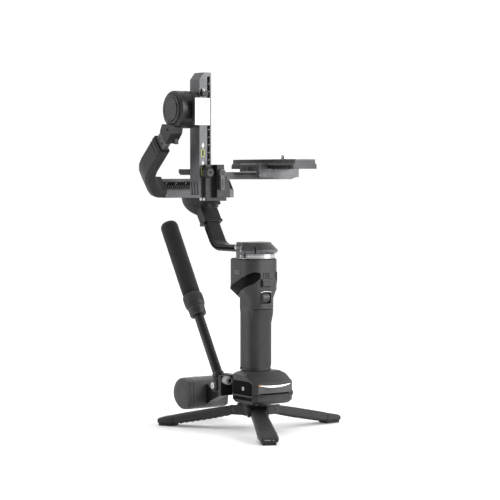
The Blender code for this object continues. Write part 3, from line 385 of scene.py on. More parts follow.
def block(bm, low, high, edge=0.25, at=UPWARD):
    """A block with all its edges cut back."""
    edge = min(edge, min(h - l for l, h in zip(low, high)) * 0.4)
    (x0, y0, z0), (x1, y1, z1) = low, high

    def level(inset, z):
        points = []
        for (x, y), (dx, dy) in zip(box_outline(x0, y0, x1, y1), ((1, 1), (-1, 1), (-1, -1), (1, -1))):
            near = (x + dx * (edge + inset), y + dy * inset, z)
            far = (x + dx * inset, y + dy * (edge + inset), z)
            points += [far, near] if dx * dy > 0 else [near, far]
        return in_frame(points, at)

    return loft(bm, [level(edge, z0), level(0, z0 + edge), level(0, z1 - edge), level(edge, z1)])


def plate(bm, outline, low, high, at=UPWARD, edge=0.0):
    """A flat outline given a thickness; edge shrinks the top a little toward its centre."""
    centre = Vector((sum(p[0] for p in outline), sum(p[1] for p in outline))) / len(outline)
    reach = max((Vector(p) - centre).length for p in outline)
    shrunk = [centre + (Vector(p) - centre) * (1 - edge / reach) for p in outline]
    loops = [[(*p, low) for p in outline], [(*p, high - edge) for p in outline]]
    if edge:
        loops.append([(*p, high) for p in shrunk])
    return loft(bm, [in_frame(loop, at) for loop in loops])


def lathe(bm, profile, at=UPWARD, count=40, hollow=False):
    """A turned piece from (radius, height) pairs; a hollow one's profile is a closed loop."""
    loops = [in_frame([(r * math.cos(math.tau * i / count), r * math.sin(math.tau * i / count), h)
                       for i in range(count)], at) for r, h in profile]
    return loft(bm, loops, closed=not hollow)


def ring(bm, inner, outer, low, high, at=UPWARD, count=48):
    """A thin ring with its outer corners eased."""
    ease = min(0.2, (high - low) * 0.3, (outer - inner) * 0.4)
    return lathe(bm, [(inner, low), (outer - ease, low), (outer, low + ease), (outer, high - ease),
                      (outer - ease, high), (inner, high)], at, count, hollow=True)


def screw(bm, at, radius, height):
    """A screw head with a chamfered rim and a hexagon socket."""
    turns = [math.tau * i / 24 for i in range(24)]
    sector = math.tau / 6
    key = radius * 0.5

    def circle(size):
        return [(size * math.cos(turn), size * math.sin(turn)) for turn in turns]

    def hexagon(size):
        flats = [size * math.cos(sector / 2) / math.cos(turn % sector - sector / 2) for turn in turns]
        return [(flat * math.cos(turn), flat * math.sin(turn)) for flat, turn in zip(flats, turns)]

    loops = [(circle(radius), 0.0), (circle(radius), height * 0.65), (circle(radius * 0.86), height),
             (hexagon(key * 1.1), height), (hexagon(key), height - 0.1), (hexagon(key), height * 0.3)]
    return loft(bm, [in_frame([(*p, h) for p in points], at) for points, h in loops])


def blocks(name, look, spans, edge=0.1, at=UPWARD):
    """A piece made of blocks; its look is a paint, a body and a slot."""
    bm = bmesh.new()
    for low, high in spans:
        block(bm, low, high, edge, at)
    return add_piece(name, bm, *look)


def rings(name, look, spans, at=UPWARD, count=48):
    """A piece made of rings about one line, each from its inner and outer radius and its two ends."""
    bm = bmesh.new()
    for span in spans:
        ring(bm, *span, at, count)
    return add_piece(name, bm, *look)


def turned(name, look, profile, at, count):
    """A piece made of one turned profile."""
    return add_piece(name, lathe(bmesh.new(), profile, at, count), *look)


def knurled(name, look, *ribs):
    return add_piece(name, knurling(bmesh.new(), *ribs), *look)


def knurling(bm, centre, axis, radius, count, low, high, edge):
    """Even ribs round a knob: each block's X runs along the axis and its Z outward."""
    side = {"x": (1, 0, 0), "y": (0, 1, 0), "z": (0, 0, 1)}[axis]
    for i in range(count):
        first, second = math.cos(math.tau * i / count), math.sin(math.tau * i / count)
        out = {"x": (0, first, second), "y": (first, 0, second), "z": (first, second, 0)}[axis]
        block(bm, low, high, edge, place(Vector(centre) + Vector(out) * radius, out, side))
    return bm


def screws(name, body, spots, radius, height=0.9, paint="silver_metal", slot="silver_metal"):
    bm = bmesh.new()
    for spot in spots:
        screw(bm, spot, radius, height)
    return add_piece(name, bm, paint, body, slot)


# tripod

# a leg in profile: distance from the pan axis, underside and top
LEG_STEPS = [(29.6, 0.4, 11.0), (65.0, -7.5, 4.6), (114.2, -16.7, -5.4), (132.2, -16.7, -9.0)]


def leg_height(reach, top):
    """A leg's underside or top height at a distance from the pan axis."""
    for (r0, low0, high0), (r1, low1, high1) in zip(LEG_STEPS, LEG_STEPS[1:]):
        if reach <= r1:
            share = (reach - r0) / (r1 - r0)
            return high0 + (high1 - high0) * share if top else low0 + (low1 - low0) * share
    return LEG_STEPS[-1][2] if top else LEG_STEPS[-1][1]


def dress_leg(number):
    leg = f"leg_{number}"
    pivot = joint_point(f"{leg}_fold")
    outward = Vector((pivot.x, pivot.y, 0)).normalized()
    side = Vector((0, 0, 1)).cross(outward)
    at = place((0, 0, 0), outward, side)
    ridges = bmesh.new()
    for offset, half in ((-5.6, 0.55), (5.6, 0.55), (-2.0, 0.3), (2.0, 0.3)):
        section = ((-half, -0.3), (half, -0.3), (half - 0.2, 0.45), (0.2 - half, 0.45))
        loft(ridges, [in_frame([(offset + x, leg_height(reach, True) + lift, reach)
                                for x, lift in section], at) for reach in (34, 50, 65, 80, 97, 112)])
    add_piece(f"leg_ridges_{number}", ridges, "shell_plastic", leg, "black_plastic")
    ribs = []
    for i in range(9):
        reach = 37.0 + 8.2 * i
        z = leg_height(reach + 1.6, False)
        ribs.append(((-7.2, z - 1.2, reach), (7.2, z + 0.6, reach + 3.2)))
    blocks(f"leg_ribs_{number}", ("black_plastic", leg, "black_plastic"), ribs, 0.5, at)
    tip = bmesh.new()
    for low, high in ((-6.5, 1.5), (4.0, 5.6)):
        plate(tip, rounded((high - low) / 2, -0.55, 0.55, 0.5, 4), 0, 1.0,
              at @ Matrix.Translation(((low + high) / 2, -13.6, 135.6)), 0.15)
    add_piece(f"leg_tip_marks_{number}", tip, "mark_grey", leg, "black_plastic")
    seams = [((x - 0.12, -15.9, 112.4), (x + 0.12, -7.0, 113.2)) for x in (-12.05, 12.05)]
    blocks(f"leg_seams_{number}", ("groove_and_shade_black", leg, "black_plastic"), seams, 0.05, at)
    treads = [((-8.3, -20.0, 115.6 + 3.2 * i), (8.3, -18.4, 117.4 + 3.2 * i)) for i in range(6)]
    blocks(f"foot_treads_{number}", ("black_rubber", leg, "black_rubber"), treads, 0.4, at)
    pins = [place(pivot + side * 13.5 * way, side * way, outward) for way in (-1, 1)]
    screws(f"leg_pivot_screws_{number}", "handle", pins, 2.6, 0.8, "dark_metal", "black_metal")


def dress_tripod():
    for number in (1, 2, 3):
        dress_leg(number)
    rings("hub_rings", ("dark_metal", "handle", "black_plastic"),
          [(18.55, 19.15, 15.9, 16.6), (17.55, 18.15, 13.2, 13.6)])
    rings("hub_socket_threads", ("silver_metal", "handle", "black_plastic"),
          [(4.9, 6.4 + 0.2 * (i % 2), 0.05 * i - 0.2, 0.05 * i - 0.1) for i in range(4)])
    badge = bmesh.new()
    plate(badge, rounded(3.0, -1.2, 1.2, 1.1, 4), 0, 0.5, facing("-y", -6.5, -17.1, 10.0), 0.15)
    add_piece("hub_latch", badge, "dark_metal", "handle", "black_metal")


# base housing, rear mount, wrist rest and sling

BASE_HALF = 31.5
BASE_FRONT = [(-25, -42.3), (-12, -44.0), (0, -44.5), (12, -44.0), (25, -42.3)]
STRIP_HALF = 24.6


def base_outline(inset):
    half, rear = BASE_HALF - inset, 24.0 - inset
    return [(14 - inset, rear), (half, 6 - inset), (half, -38 + inset), (half - 6, -42.5 + inset),
            (12, -44.0 + inset), (0, -44.5 + inset), (-12, -44.0 + inset), (-half + 6, -42.5 + inset),
            (-half, -38 + inset), (-half, 6 - inset), (-14 + inset, rear)]


def hoop(bm, outline_of, inner, outer, low, high):
    """A band round an outline between two insets."""
    loops = [[(*p, z) for p in outline_of(inset)]
             for inset, z in ((inner, low), (outer, low), (outer, high), (inner, high))]
    return loft(bm, loops, closed=False)


def dress_base_front():
    """A dark line, the paler fascia above it, and the thin lamp, which sags in the middle."""
    line = bmesh.new()
    loft(line, [[(x, y + 0.3, 31.2), (x, y - 0.2, 31.3), (x, y - 0.2, 32.8), (x, y + 0.3, 32.9)]
                for x, y in BASE_FRONT])
    add_piece("base_glaze", line, "groove_and_shade_black", "handle", "gloss_black")
    fascia = bmesh.new()
    loft(fascia, [[(x, y + 0.3, 33.0), (x, y - 0.3, 33.3),
                   (x, y - 0.3, top - 0.7), (x, y + 0.3, top - 0.5)]
                  for (x, y), top in zip(BASE_FRONT, (43.3, 41.1, 40.4, 41.1, 43.3))])
    add_piece("base_fascia", fascia, "fascia_grey", "handle", "black_plastic")
    strip = bmesh.new()
    loops = []
    for i in range(25):
        x = -STRIP_HALF + 2 * STRIP_HALF * i / 24
        share = abs(x) / STRIP_HALF
        y = -44.8 + 2.2 * share ** 1.8
        low, high = 40.4 + 2.9 * share ** 2, 42.5 + 1.2 * share ** 2
        loops.append([(x, y + 0.2, low), (x, y - 0.9, low + 0.1), (x, y - 1.1, (low + high) / 2),
                      (x, y - 0.9, high - 0.1), (x, y + 0.2, high)])
    loft(strip, loops)
    lamp = add_piece("light_strip_lens", strip, "strip_glow", "handle", "lamp_white", 60)
    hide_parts("light_strip")


def dress_base():
    lip = bmesh.new()
    hoop(lip, base_outline, 0.6, -0.55, 27.6, 29.8)
    hoop(lip, base_outline, 0.6, -0.3, 30.2, 30.8)
    add_piece("base_lip", lip, "black_plastic", "handle", "black_plastic")
    seam = bmesh.new()
    hoop(seam, base_outline, 0.3, -0.06, 30.8, 31.3)
    add_piece("base_seam", seam, "groove_and_shade_black", "handle", "black_plastic")
    dress_base_front()
    # Near-black panels on both sides of the base: real dark panels, painted darker than the plastic also as
    # painted shade of their recess.
    panel = bmesh.new()
    outline = [(-37.2, 23.0), (5.2, 23.0), (5.2, 47.6), (-30.0, 47.6), (-37.2, 44.6)]
    for way in (-1, 1):
        wall = place((way * BASE_HALF, 0, 0), (way, 0, 0), (0, 1, 0))
        plate(panel, [(y, way * z) for y, z in outline], -0.2, 0.3, wall, 0.2)
    add_piece("base_side_panels", panel, "groove_and_shade_black", "handle", "black_plastic")
    blocks("base_ledges", ("dark_metal", "handle", "black_plastic"),
           [((x - 0.325, -26.0, z), (x + 0.325, 5.0, z + 0.8))
            for z in (49.2, 51.4) for x in (-31.425, 31.425)], 0.2)
    boss = bmesh.new()
    lathe(boss, [(3.4, -0.4), (3.4, 0.5), (2.9, 0.9), (1.6, 0.9), (1.3, 0.4)],
          facing("-y", 27.4, -40.9, 31.4), 28)
    lathe(boss, [(3.6, -0.3), (3.6, 0.4), (3.1, 0.6), (2.0, 0.6), (1.8, 0.2)],
          facing("+x", BASE_HALF, -16, 34.0), 32)
    add_piece("base_bosses", boss, "dark_metal", "handle", "black_metal")
    screws("base_side_screw", "handle", [facing("-x", -31.4, -18, 38.0)], 2.5, 1.0)
    under = [facing("-z", x, y, 18.7) for x, y in ((-22, -34), (22, -34), (-24, 2), (24, 2))]
    screws("base_under_screws", "handle", under, 2.2, 0.9)
    port = bmesh.new()
    plate(port, rounded(6.0, -2.0, 2.0, 1.9, 5), -0.2, 0.5, facing("+x", BASE_HALF, -2.0, 42.0), 0.2)
    plate(port, rounded(1.5, -0.5, 0.5, 0.4, 4), 0.4, 0.8, facing("+x", BASE_HALF, 2.6, 42.0), 0.1)
    add_piece("base_port_cover", port, "black_rubber", "handle", "black_rubber")


HINGE_Y, HINGE_Z = 47, 36


def dress_mount():
    mount = bmesh.new()
    for z in (27.0, 46.5):
        block(mount, (-14.2, 26.0, z), (14.2, 36.0, z + 0.8), 0.2)
    for x in (-14.25, 13.85):
        block(mount, (x, 38.0, 30.0), (x + 0.4, 53.0, 31.2), 0.1)
    add_piece("mount_ribs", mount, "dark_metal", "handle", "black_metal")
    bolts = [facing("+y", x, 35.5, 46.5) for x in (-19, -31)]
    bolts += [facing("+x", 13.9, 47, 36.0)]
    screws("mount_bolts", "handle", bolts, 2.3, 0.9)
    low, high = extent("hinge_knob")
    screws("hinge_knob_screw", "hinge_knob", [facing("-x", low.x + 0.3, HINGE_Y, HINGE_Z)], 4.2, 1.2)
    knurled("hinge_knob_ribs", ("black_metal", "hinge_knob", "black_metal"),
            (low.x + 1.6, HINGE_Y, HINGE_Z), "x", (high.z - low.z) / 2, 24,
            (0, -0.45, -0.3), (4.6, 0.45, 0.35), 0.12)
    low, high = extent("mount_thumbscrew")
    centre = joint_point("thumbscrew_turn")
    face = facing("-y", centre.x, low.y, centre.z)
    ribs = bmesh.new()
    knurling(ribs, (centre.x, low.y + 0.7, centre.z), "y", (high.z - low.z) / 2, 20,
             (0, -0.4, -0.3), (3.6, 0.4, 0.3), 0.12)
    ring(ribs, 2.4, 4.0, -0.05, 0.45, face, 32)
    add_piece("thumbscrew_ribs", ribs, "pale_metal", "thumbscrew", "black_metal")
    socket = bmesh.new()
    hexagon = [(2.2 * math.cos(math.tau * i / 6), 2.2 * math.sin(math.tau * i / 6)) for i in range(6)]
    plate(socket, hexagon, -0.1, 0.12, face)
    add_piece("thumbscrew_socket", socket, "groove_and_shade_black", "thumbscrew", "black_metal")


def dress_sling():
    knurls = bmesh.new()
    for i in range(30):
        turn = math.tau * i / 30
        at = SLING_FRAME @ Matrix.Rotation(turn, 4, "Z") @ Matrix.Translation((13.3, 0, 121.2))
        block(knurls, (-0.2, -0.55, 0), (0.35, 0.55, 10.6), 0.2, at)
    add_piece("collar_knurls", knurls, "shell_plastic", "twist_collar", "black_plastic")
    rings("collar_bands", ("dark_metal", "twist_collar", "black_metal"),
          [(radius - 0.8, radius, low, low + 0.9)
           for low, radius in ((104.6, 10.9), (113.6, 11.5), (133.2, 13.2))], SLING_FRAME)
    rings("rod_root", ("dark_metal", "sling_rod", "black_metal"),
          [(6.3, 8.0, 12.0, 16.5), (6.3, 7.4, 17.0, 18.2)], SLING_FRAME)
    make_foam()


def make_foam():
    """The foam handle, slightly uneven as cut foam is, with rounded ends."""
    low, high, radius = 135.4, 248.3, 12.2
    profile = [(7.1, low), (radius - 1.4, low), (radius - 0.5, low + 0.6), (radius - 0.05, low + 2.2)]
    steps = 44
    for i in range(1, steps):
        profile.append((radius, low + 2.2 + (high - 9.2 - low) * i / steps))
    profile += [(radius - 0.1, high - 6.6), (radius - 0.9, high - 4.0), (radius - 2.8, high - 1.8),
                (radius - 5.6, high - 0.5), (3.6, high - 0.1), (3.2, high - 0.8)]
    bm = bmesh.new()
    lathe(bm, profile, UPWARD, 64)
    for vert in bm.verts:
        off = Vector((vert.co.x, vert.co.y, 0))
        if off.length > radius - 1.5:
            lift = 0.16 * noise.noise(vert.co * 0.12) + 0.07 * noise.noise(vert.co * 0.5)
            vert.co += off.normalized() * (lift - 0.12)
    bm.transform(SLING_FRAME)
    foam = add_piece("foam_handle", bm, "black_foam", "sling_grip", "black_foam", 50)
    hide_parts("sling_foam")


PAD_HALF, PAD_CHANNEL = 32.0, 26.4


def pad_section(scale):
    """The wrist pad's D-shaped section as (y, z) about its own middle."""
    points = []
    flat = -0.62
    for i in range(56):
        turn = math.tau * i / 56
        y, z = math.cos(turn), math.sin(turn)
        if y < flat:
            y = flat + (y - flat) * 0.12
        points.append(((25.8 * y - 3.6) * scale, 21.7 * z * scale))
    return points


def make_wrist_pad():
    """A padded roll with firm end caps, a sewn channel inside each, and a soft crown between."""
    low, high = extent("wrist_pad")
    middle = (low + high) / 2
    middle.x = 0.0
    count = 40
    stations = [-PAD_HALF + 2 * PAD_HALF * i / count for i in range(count + 1)]
    stations += [way * (PAD_CHANNEL + step) for way in (-1, 1) for step in (-0.5, 0.0, 0.5)]
    loops = []
    for x in sorted(stations):
        end = (PAD_HALF - abs(x)) / 2.4
        scale = 1.0 if end >= 1 else 0.9 + 0.1 * math.sqrt(max(1 - (1 - end) ** 2, 0))
        channel = math.exp(-((abs(x) - PAD_CHANNEL) / 0.5) ** 2)
        crown = 0.0 if abs(x) > PAD_CHANNEL else 0.012 * math.cos(math.pi * x / (2 * PAD_CHANNEL))
        loops.append([(x, middle.y + y, middle.z + z)
                      for y, z in pad_section(scale - 0.03 * channel - 0.012 + crown)])
    bm = bmesh.new()
    loft(bm, loops)
    for vert in bm.verts:
        if abs(vert.co.x) < 26:
            off = (vert.co - Vector((vert.co.x, middle.y, middle.z))).normalized()
            vert.co += off * 0.28 * noise.noise(vert.co * 0.09)
    pad = add_piece("wrist_cushion", bm, "pad_cloth", "wrist_rest", "pad_cloth", 50)
    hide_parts("wrist_pad")
    dress_wrist_pad(middle)


def dress_wrist_pad(middle):
    caps = bmesh.new()
    for way in (-1, 1):
        at = place((way * PAD_HALF, middle.y, middle.z), (way, 0, 0), (0, 1, 0))
        loft(caps, [in_frame([(y, z * way, depth) for y, z in pad_section(scale)], at)
                    for scale, depth in ((0.886, -0.6), (0.886, 0.05), (0.86, 0.35), (0.4, 0.55))])
    add_piece("wrist_cap_ends", caps, "pad_skin", "wrist_rest", "pad_cloth")
    stitches = bmesh.new()
    for way in (-1, 1):
        for y, z in pad_section(0.962)[::2]:
            at = place((way * 25.2, middle.y + y, middle.z + z), (0, y, z), (1, 0, 0))
            block(stitches, (-0.25, -0.9, 0.0), (0.25, 0.9, 0.85), 0.12, at)
    add_piece("wrist_stitches", stitches, "pad_skin", "wrist_rest", "pad_cloth")


# handle

# plans of the handle, as rounded() takes them: half width, front, rear and corner
GRIP_PLAN, NECK_PLAN = (17.5, -18.0, 18.0, 12.5), (18.1, -24.0, 18.6, 13.0)
HEAD_PLAN = (25.0, -24.0, 32.0, 16.5)


def dress_grip():
    def grip_outline(inset):
        half, front, rear, corner = GRIP_PLAN
        return rounded(half - inset, front + inset, rear - inset, corner - inset)

    rim = bmesh.new()
    hoop(rim, grip_outline, 0.4, -0.7, 59.7, 61.9)
    add_piece("grip_rim", rim, "dark_metal", "handle", "black_metal")
    seam = bmesh.new()
    hoop(seam, grip_outline, 0.3, -0.08, 61.9, 62.5)
    add_piece("grip_rim_seam", seam, "groove_and_shade_black", "handle", "black_plastic")
    fairing = bmesh.new()
    grip, neck = rounded(*GRIP_PLAN), rounded(*NECK_PLAN)
    loft(fairing, [[(x * (1 + lift / 18), y * (1 + lift / 18), z) for x, y in outline]
                   for outline, lift, z in ((grip, -0.3, 134.0), (grip, 0.03, 134.0), (grip, 0.3, 136.5),
                                            (neck, 0.05, 139.6), (neck, 0.05, 141.6), (neck, -0.3, 141.6))],
         closed=False)
    add_piece("neck_fairing", fairing, "shell_plastic", "handle", "black_plastic", 60)
    blocks("door_ribs", ("shell_plastic", "handle", "black_plastic"),
           [((-8.0, 17.7, 112 + 2.6 * i), (8.0, 18.6, 113.3 + 2.6 * i)) for i in range(9)], 0.3)
    latch = bmesh.new()
    at = facing("+y", 0, 17.9, 74)
    plate(latch, rounded(5.0, -3.2, 3.2, 2.4, 5), -0.2, 0.9, at, 0.3)
    for z in (-1.4, 0.0, 1.4):
        block(latch, (-3.0, z - 0.3, 0.8), (3.0, z + 0.3, 1.3), 0.1, at)
    add_piece("door_latch", latch, "dark_metal", "handle", "black_metal")


def dress_head():
    front = HEAD_PLAN[1]
    slits = bmesh.new()
    for i in range(4):
        plate(slits, rounded(0.45, -3.2, 3.2, 0.4, 4), -0.1, 0.12,
              facing("-y", -4.2 + 2.8 * i, front, 183.4))
    add_piece("head_slits", slits, "groove_and_shade_black", "handle", "black_plastic")
    brow = bmesh.new()
    plate(brow, rounded(8.6, -0.5, 0.5, 0.45, 4), -0.2, 0.7, facing("-y", 0, front, 165.2), 0.2)
    plate(brow, rounded(9.2, -0.8, 0.8, 0.7, 4), -0.2, 0.8, facing("-y", 0, front, 145.3), 0.2)
    add_piece("head_brows", brow, "shell_plastic", "handle", "black_plastic")
    marks = bmesh.new()
    at = place((extent("head_shell")[0].x, 6.0, 186.5), (-1, 0, 0), (0, -1, 0))
    ring(marks, 1.7, 2.4, -0.1, 0.14, at @ Matrix.Translation((-3.0, 0, 0)), 24)
    for x, y, w, h in ((3.0, 2.2, 2.4, 0.35), (3.0, -2.2, 2.4, 0.35),
                       (0.9, 0, 0.35, 2.4), (5.1, 0, 0.35, 2.4)):
        block(marks, (x - w, y - h, -0.1), (x + w, y + h, 0.14), 0.05, at)
    add_piece("head_icons", marks, "mark_grey", "handle", "black_plastic")
    rings("head_mouth_ring", ("dark_metal", "handle", "black_metal"), [(21.6, 22.4, 203.7, 204.25)])


def head_surface(bearing, z):
    """A point on the head's side at a bearing from the pan axis, in degrees from -X toward -Y."""
    share = min(max((z - 153.0) / 11.0, 0.0), 1.0)
    outline = [Vector(n).lerp(Vector(f), share)
               for n, f in zip(rounded(*NECK_PLAN, 24), rounded(*HEAD_PLAN, 24))]
    out = Vector((-math.cos(math.radians(bearing)), -math.sin(math.radians(bearing))))
    for start, stop in zip(outline, outline[1:] + outline[:1]):
        edge = stop - start
        across = out.x * edge.y - out.y * edge.x
        if abs(across) < 1e-9:
            continue
        reach = (start.x * edge.y - start.y * edge.x) / across
        along = (start.x * out.y - start.y * out.x) / across
        if reach > 0 and -1e-9 <= along <= 1 + 1e-9:
            return Vector((out.x * reach, out.y * reach, z))
    raise ValueError("the head's outline does not go round the pan axis")


def make_inlays():
    """Glossy bands that fall along the head's sides from the front and wrap under its skirt."""
    rear_bearing = -44.0
    for side, name, start in ((1, "inlay_left", 70.0), (-1, "inlay_right", 52.0)):
        loops = []
        for i in range(29):
            share = i / 28
            bearing = start + (rear_bearing - start) * share
            middle = 182.5 - 22.5 * share ** 1.15
            half = 3.5 + 4.0 * min(share * 6, 1.0)
            inner, outer = [], []
            for step in range(9):
                point = head_surface(bearing, middle - half + 2 * half * step / 8)
                out = Vector((point.x, point.y, 0)).normalized()
                inner.append(point + out * 0.1)
                outer.append(point + out * (0.75 if 0 < step < 8 else 0.45))
            loops.append([Vector((side * p.x, p.y, p.z)) for p in inner + outer[::-1]])
        bm = bmesh.new()
        loft(bm, loops)
        band = add_piece(f"{name}_band", bm, "gloss_black", "handle", "gloss_black", 50)
        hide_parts(name)


BUTTON_X, BUTTON_Z, STICK_Z = 7.2, 181.5, 171.0


def dress_dial():
    low = extent("front_trigger")[0]
    blocks("trigger_ledges", ("shell_plastic", "trigger", "black_plastic"),
           [((-6.6, low.y - out, low.z + z), (6.6, low.y + 1.8, low.z + z + 1.2))
            for z, out in ((1.6, 0.1), (4.4, 0.5), (7.0, 0.2))], 0.3)
    knurled("dial_knurls", ("dark_metal", "dial", "silver_metal"),
            joint_point("dial_turn"), "x", 6.7, 32, (-4.6, -0.3, -0.3), (4.6, 0.3, 0.3), 0.1)
    visor = bmesh.new()
    section = ((-23.7, -0.5), (-24.9, -0.5), (-25.1, 0.1), (-24.7, 0.5), (-23.7, 0.5))
    loft(visor, [[(-8.6 * math.cos(turn), y, 160.4 + 1.7 * math.sin(turn) + lift) for y, lift in section]
                 for turn in (math.pi * i / 12 for i in range(13))])
    add_piece("dial_visor", visor, "silver_metal", "handle", "silver_metal")
    well = bmesh.new()
    loft(well, [[(x * s, y, 153.9 + z * s) for x, z in rounded(7.6, -7.9, 7.9, 3.0, 4)]
                for s, y in ((0.9, -23.8), (1.06, -23.8), (1.06, -24.5), (0.96, -24.9), (0.9, -24.3))],
         closed=False)
    add_piece("dial_well", well, "black_plastic", "handle", "black_plastic")


def dress_buttons():
    rims = bmesh.new()
    for x, z, radius in ((-BUTTON_X, BUTTON_Z, 2.9), (BUTTON_X, BUTTON_Z, 2.9), (0.0, STICK_Z, 5.0)):
        ring(rims, radius + 0.1, radius + 1.0, -0.4, 0.35, facing("+y", x, HEAD_PLAN[2], z), 36)
    add_piece("control_rims", rims, "dark_metal", "handle", "black_metal")
    turned("record_dot", ("mark_white", "record_button", "grey_metal"),
           [(1.1, -0.1), (1.1, 0.15), (0.8, 0.3)],
           facing("+y", -BUTTON_X, extent("record_button")[1].y, BUTTON_Z), 20)
    blocks("mode_ticks", ("mark_white", "mode_button", "grey_metal"),
           [((x - 0.2, -1.1, -0.1), (x + 0.2, 1.1, 0.2)) for x in (-0.9, 0.0, 0.9)], 0.05,
           facing("+y", BUTTON_X, extent("mode_button")[1].y, BUTTON_Z))
    stick = bmesh.new()
    tip = facing("+y", 0, extent("joystick")[1].y, STICK_Z)
    ring(stick, 1.6, 2.4, -0.3, 0.25, tip, 24)
    for i in range(4):
        at = tip @ Matrix.Rotation(math.tau * i / 4, 4, "Z")
        block(stick, (1.9, -0.25, -0.4), (2.9, 0.25, 0.15), 0.08, at)
    add_piece("joystick_pips", stick, "black_rubber", "joystick", "black_rubber")


def dress_screen():
    glass = extent("display_window")[1].y
    bars = bmesh.new()
    for i, width in enumerate((9.0, 6.0, 7.5)):
        block(bars, (-6.0, -0.3, glass), (-6.0 + width, 0.3, glass + 0.08), 0.02,
              facing("+y", 0, 0, 197.2 - 2.6 * i))
    add_piece("screen_bars", bars, "screen_glow", "handle", "gloss_black")
    bezel = bmesh.new()
    outer, inner = box_outline(-8.9, 187.8, 8.9, 200.7), box_outline(-8.4, 188.3, 8.4, 200.2)
    loft(bezel, [[(x, y, z) for x, z in outline]
                 for outline, y in ((inner, 31.7), (outer, 31.7), (outer, 33.0), (inner, 33.3))],
         closed=False)
    add_piece("screen_bezel", bezel, "dark_metal", "handle", "black_metal")


def dress_inside():
    chips = ((-6, -4, 4, 4, 1.0), (6, 4, 3, 3, 0.8), (5, -7, 2, 3, 1.4), (-7, 8, 3, 2, 1.2))
    blocks("board_chips", ("black_plastic", "handle", "green_board"),
           [((x - w, y - d, 168.0), (x + w, y + d, 168.1 + h)) for x, y, w, d, h in chips], 0.15)
    for number in (1, 2):
        low, high = extent(f"battery_cell_{number}")
        at = facing("+z", (low.x + high.x) / 2, (low.y + high.y) / 2, high.z)
        cap = bmesh.new()
        lathe(cap, [(2.6, -0.1), (2.6, 0.7), (2.2, 1.0)], at, 24)
        ring(cap, 3.6, 5.4, -0.1, 0.2, at, 28)
        add_piece(f"cell_terminal_{number}", cap, "silver_metal", "handle", "silver_metal")


# pan motor and arm

def dress_pan():
    rings("pan_ring_lines", ("dark_metal", "handle", "silver_metal"),
          [(25.2, 25.5, 205.0, 205.5), (25.2, 25.5, 208.6, 209.0)], UPWARD, 72)
    top = extent("pan_clamp")[1].z - 0.2
    spots = [facing("-x", -28.5, -8.6, z) for z in (215.0, 207.6)]
    spots += [facing("+z", x, y, top) for x, y in ((-19, -7), (-19, 3), (14.6, -6), (14.6, 8))]
    screws("pan_clamp_screws", "pan_rotor", spots, 1.6, 0.7)
    # A painted shadow on the pan clamp: a near-black sheet where the clamp's shade falls, not a cut in the clamp.
    painted_shadow = bmesh.new()
    foot = [(-19.6, -26.9), (-18.2, -27.6), (-17.9, -26.8), (-19.3, -26.1)]
    head = [(-17.8, -20.5), (-16.4, -21.0), (-16.1, -20.2), (-17.5, -19.7)]
    loft(painted_shadow, [[(*p, z) for p in outline]
                 for outline, z in ((foot, 211.4), (foot, 215.6), (head, 224.6))])
    add_piece("pan_clamp_split", painted_shadow, "groove_and_shade_black", "pan_rotor", "black_metal")
    blocks("pan_clamp_lines", ("dark_metal", "pan_rotor", "black_metal"),
           [((-14.0, -31.15, 213.0), (7.4, -30.8, 213.5)), ((-27.4, -10.0, 225.0), (-18.6, 2.0, 225.25))])
    pin = facing("-x", extent("pan_lock_lever")[0].x + 0.1, -1.5, 218.6)
    screws("pan_lock_pin", "pan_lock", [pin], 2.2, 0.8)


ARM_Z, ARM_BEND, ARM_RISE = 215.8, 22, math.radians(56)


def arm_line():
    """The pan arm's centre line as (y, z, tangent), from the clamp to the roll motor."""
    centre = (81.5 - ARM_BEND * math.tan(ARM_RISE / 2), ARM_Z + ARM_BEND)
    points = [(26.0, ARM_Z, 0.0), (48.0, ARM_Z, 0.0)]
    for i in range(9):
        turn = ARM_RISE * i / 8
        points.append((centre[0] + ARM_BEND * math.sin(turn), centre[1] - ARM_BEND * math.cos(turn), turn))
    y, z, turn = points[-1]
    points.append((y + 21 * math.cos(turn), z + 21 * math.sin(turn), turn))
    return points


def dress_pan_arm():
    for name, paint, low, high, proud in (("arm_groove", "groove_and_shade_black", -1.5, 1.5, 0.12),
                                          ("arm_edge", "dark_metal", -3.0, -2.2, 0.22)):
        bm = bmesh.new()
        for way in (-1, 1):
            near, far = way * 11.3, way * (11.5 + proud)
            section = ((near, low), (far, low), (far, high), (near, high))
            loft(bm, [[(x, y - math.sin(turn) * h, z + math.cos(turn) * h) for x, h in section]
                      for y, z, turn in arm_line()])
        add_piece(name, bm, paint, "pan_arm", "black_metal")
    marks = []
    for i in range(10):
        half, y = 3.0 if i % 5 else 5.0, 30.0 + 2.4 * i
        marks.append(((-half, y, 219.9), (half, y + 0.3, 220.12)))
    blocks("arm_scale", ("mark_grey", "pan_arm", "black_metal"), marks, 0.04)


# roll motor, rail and link

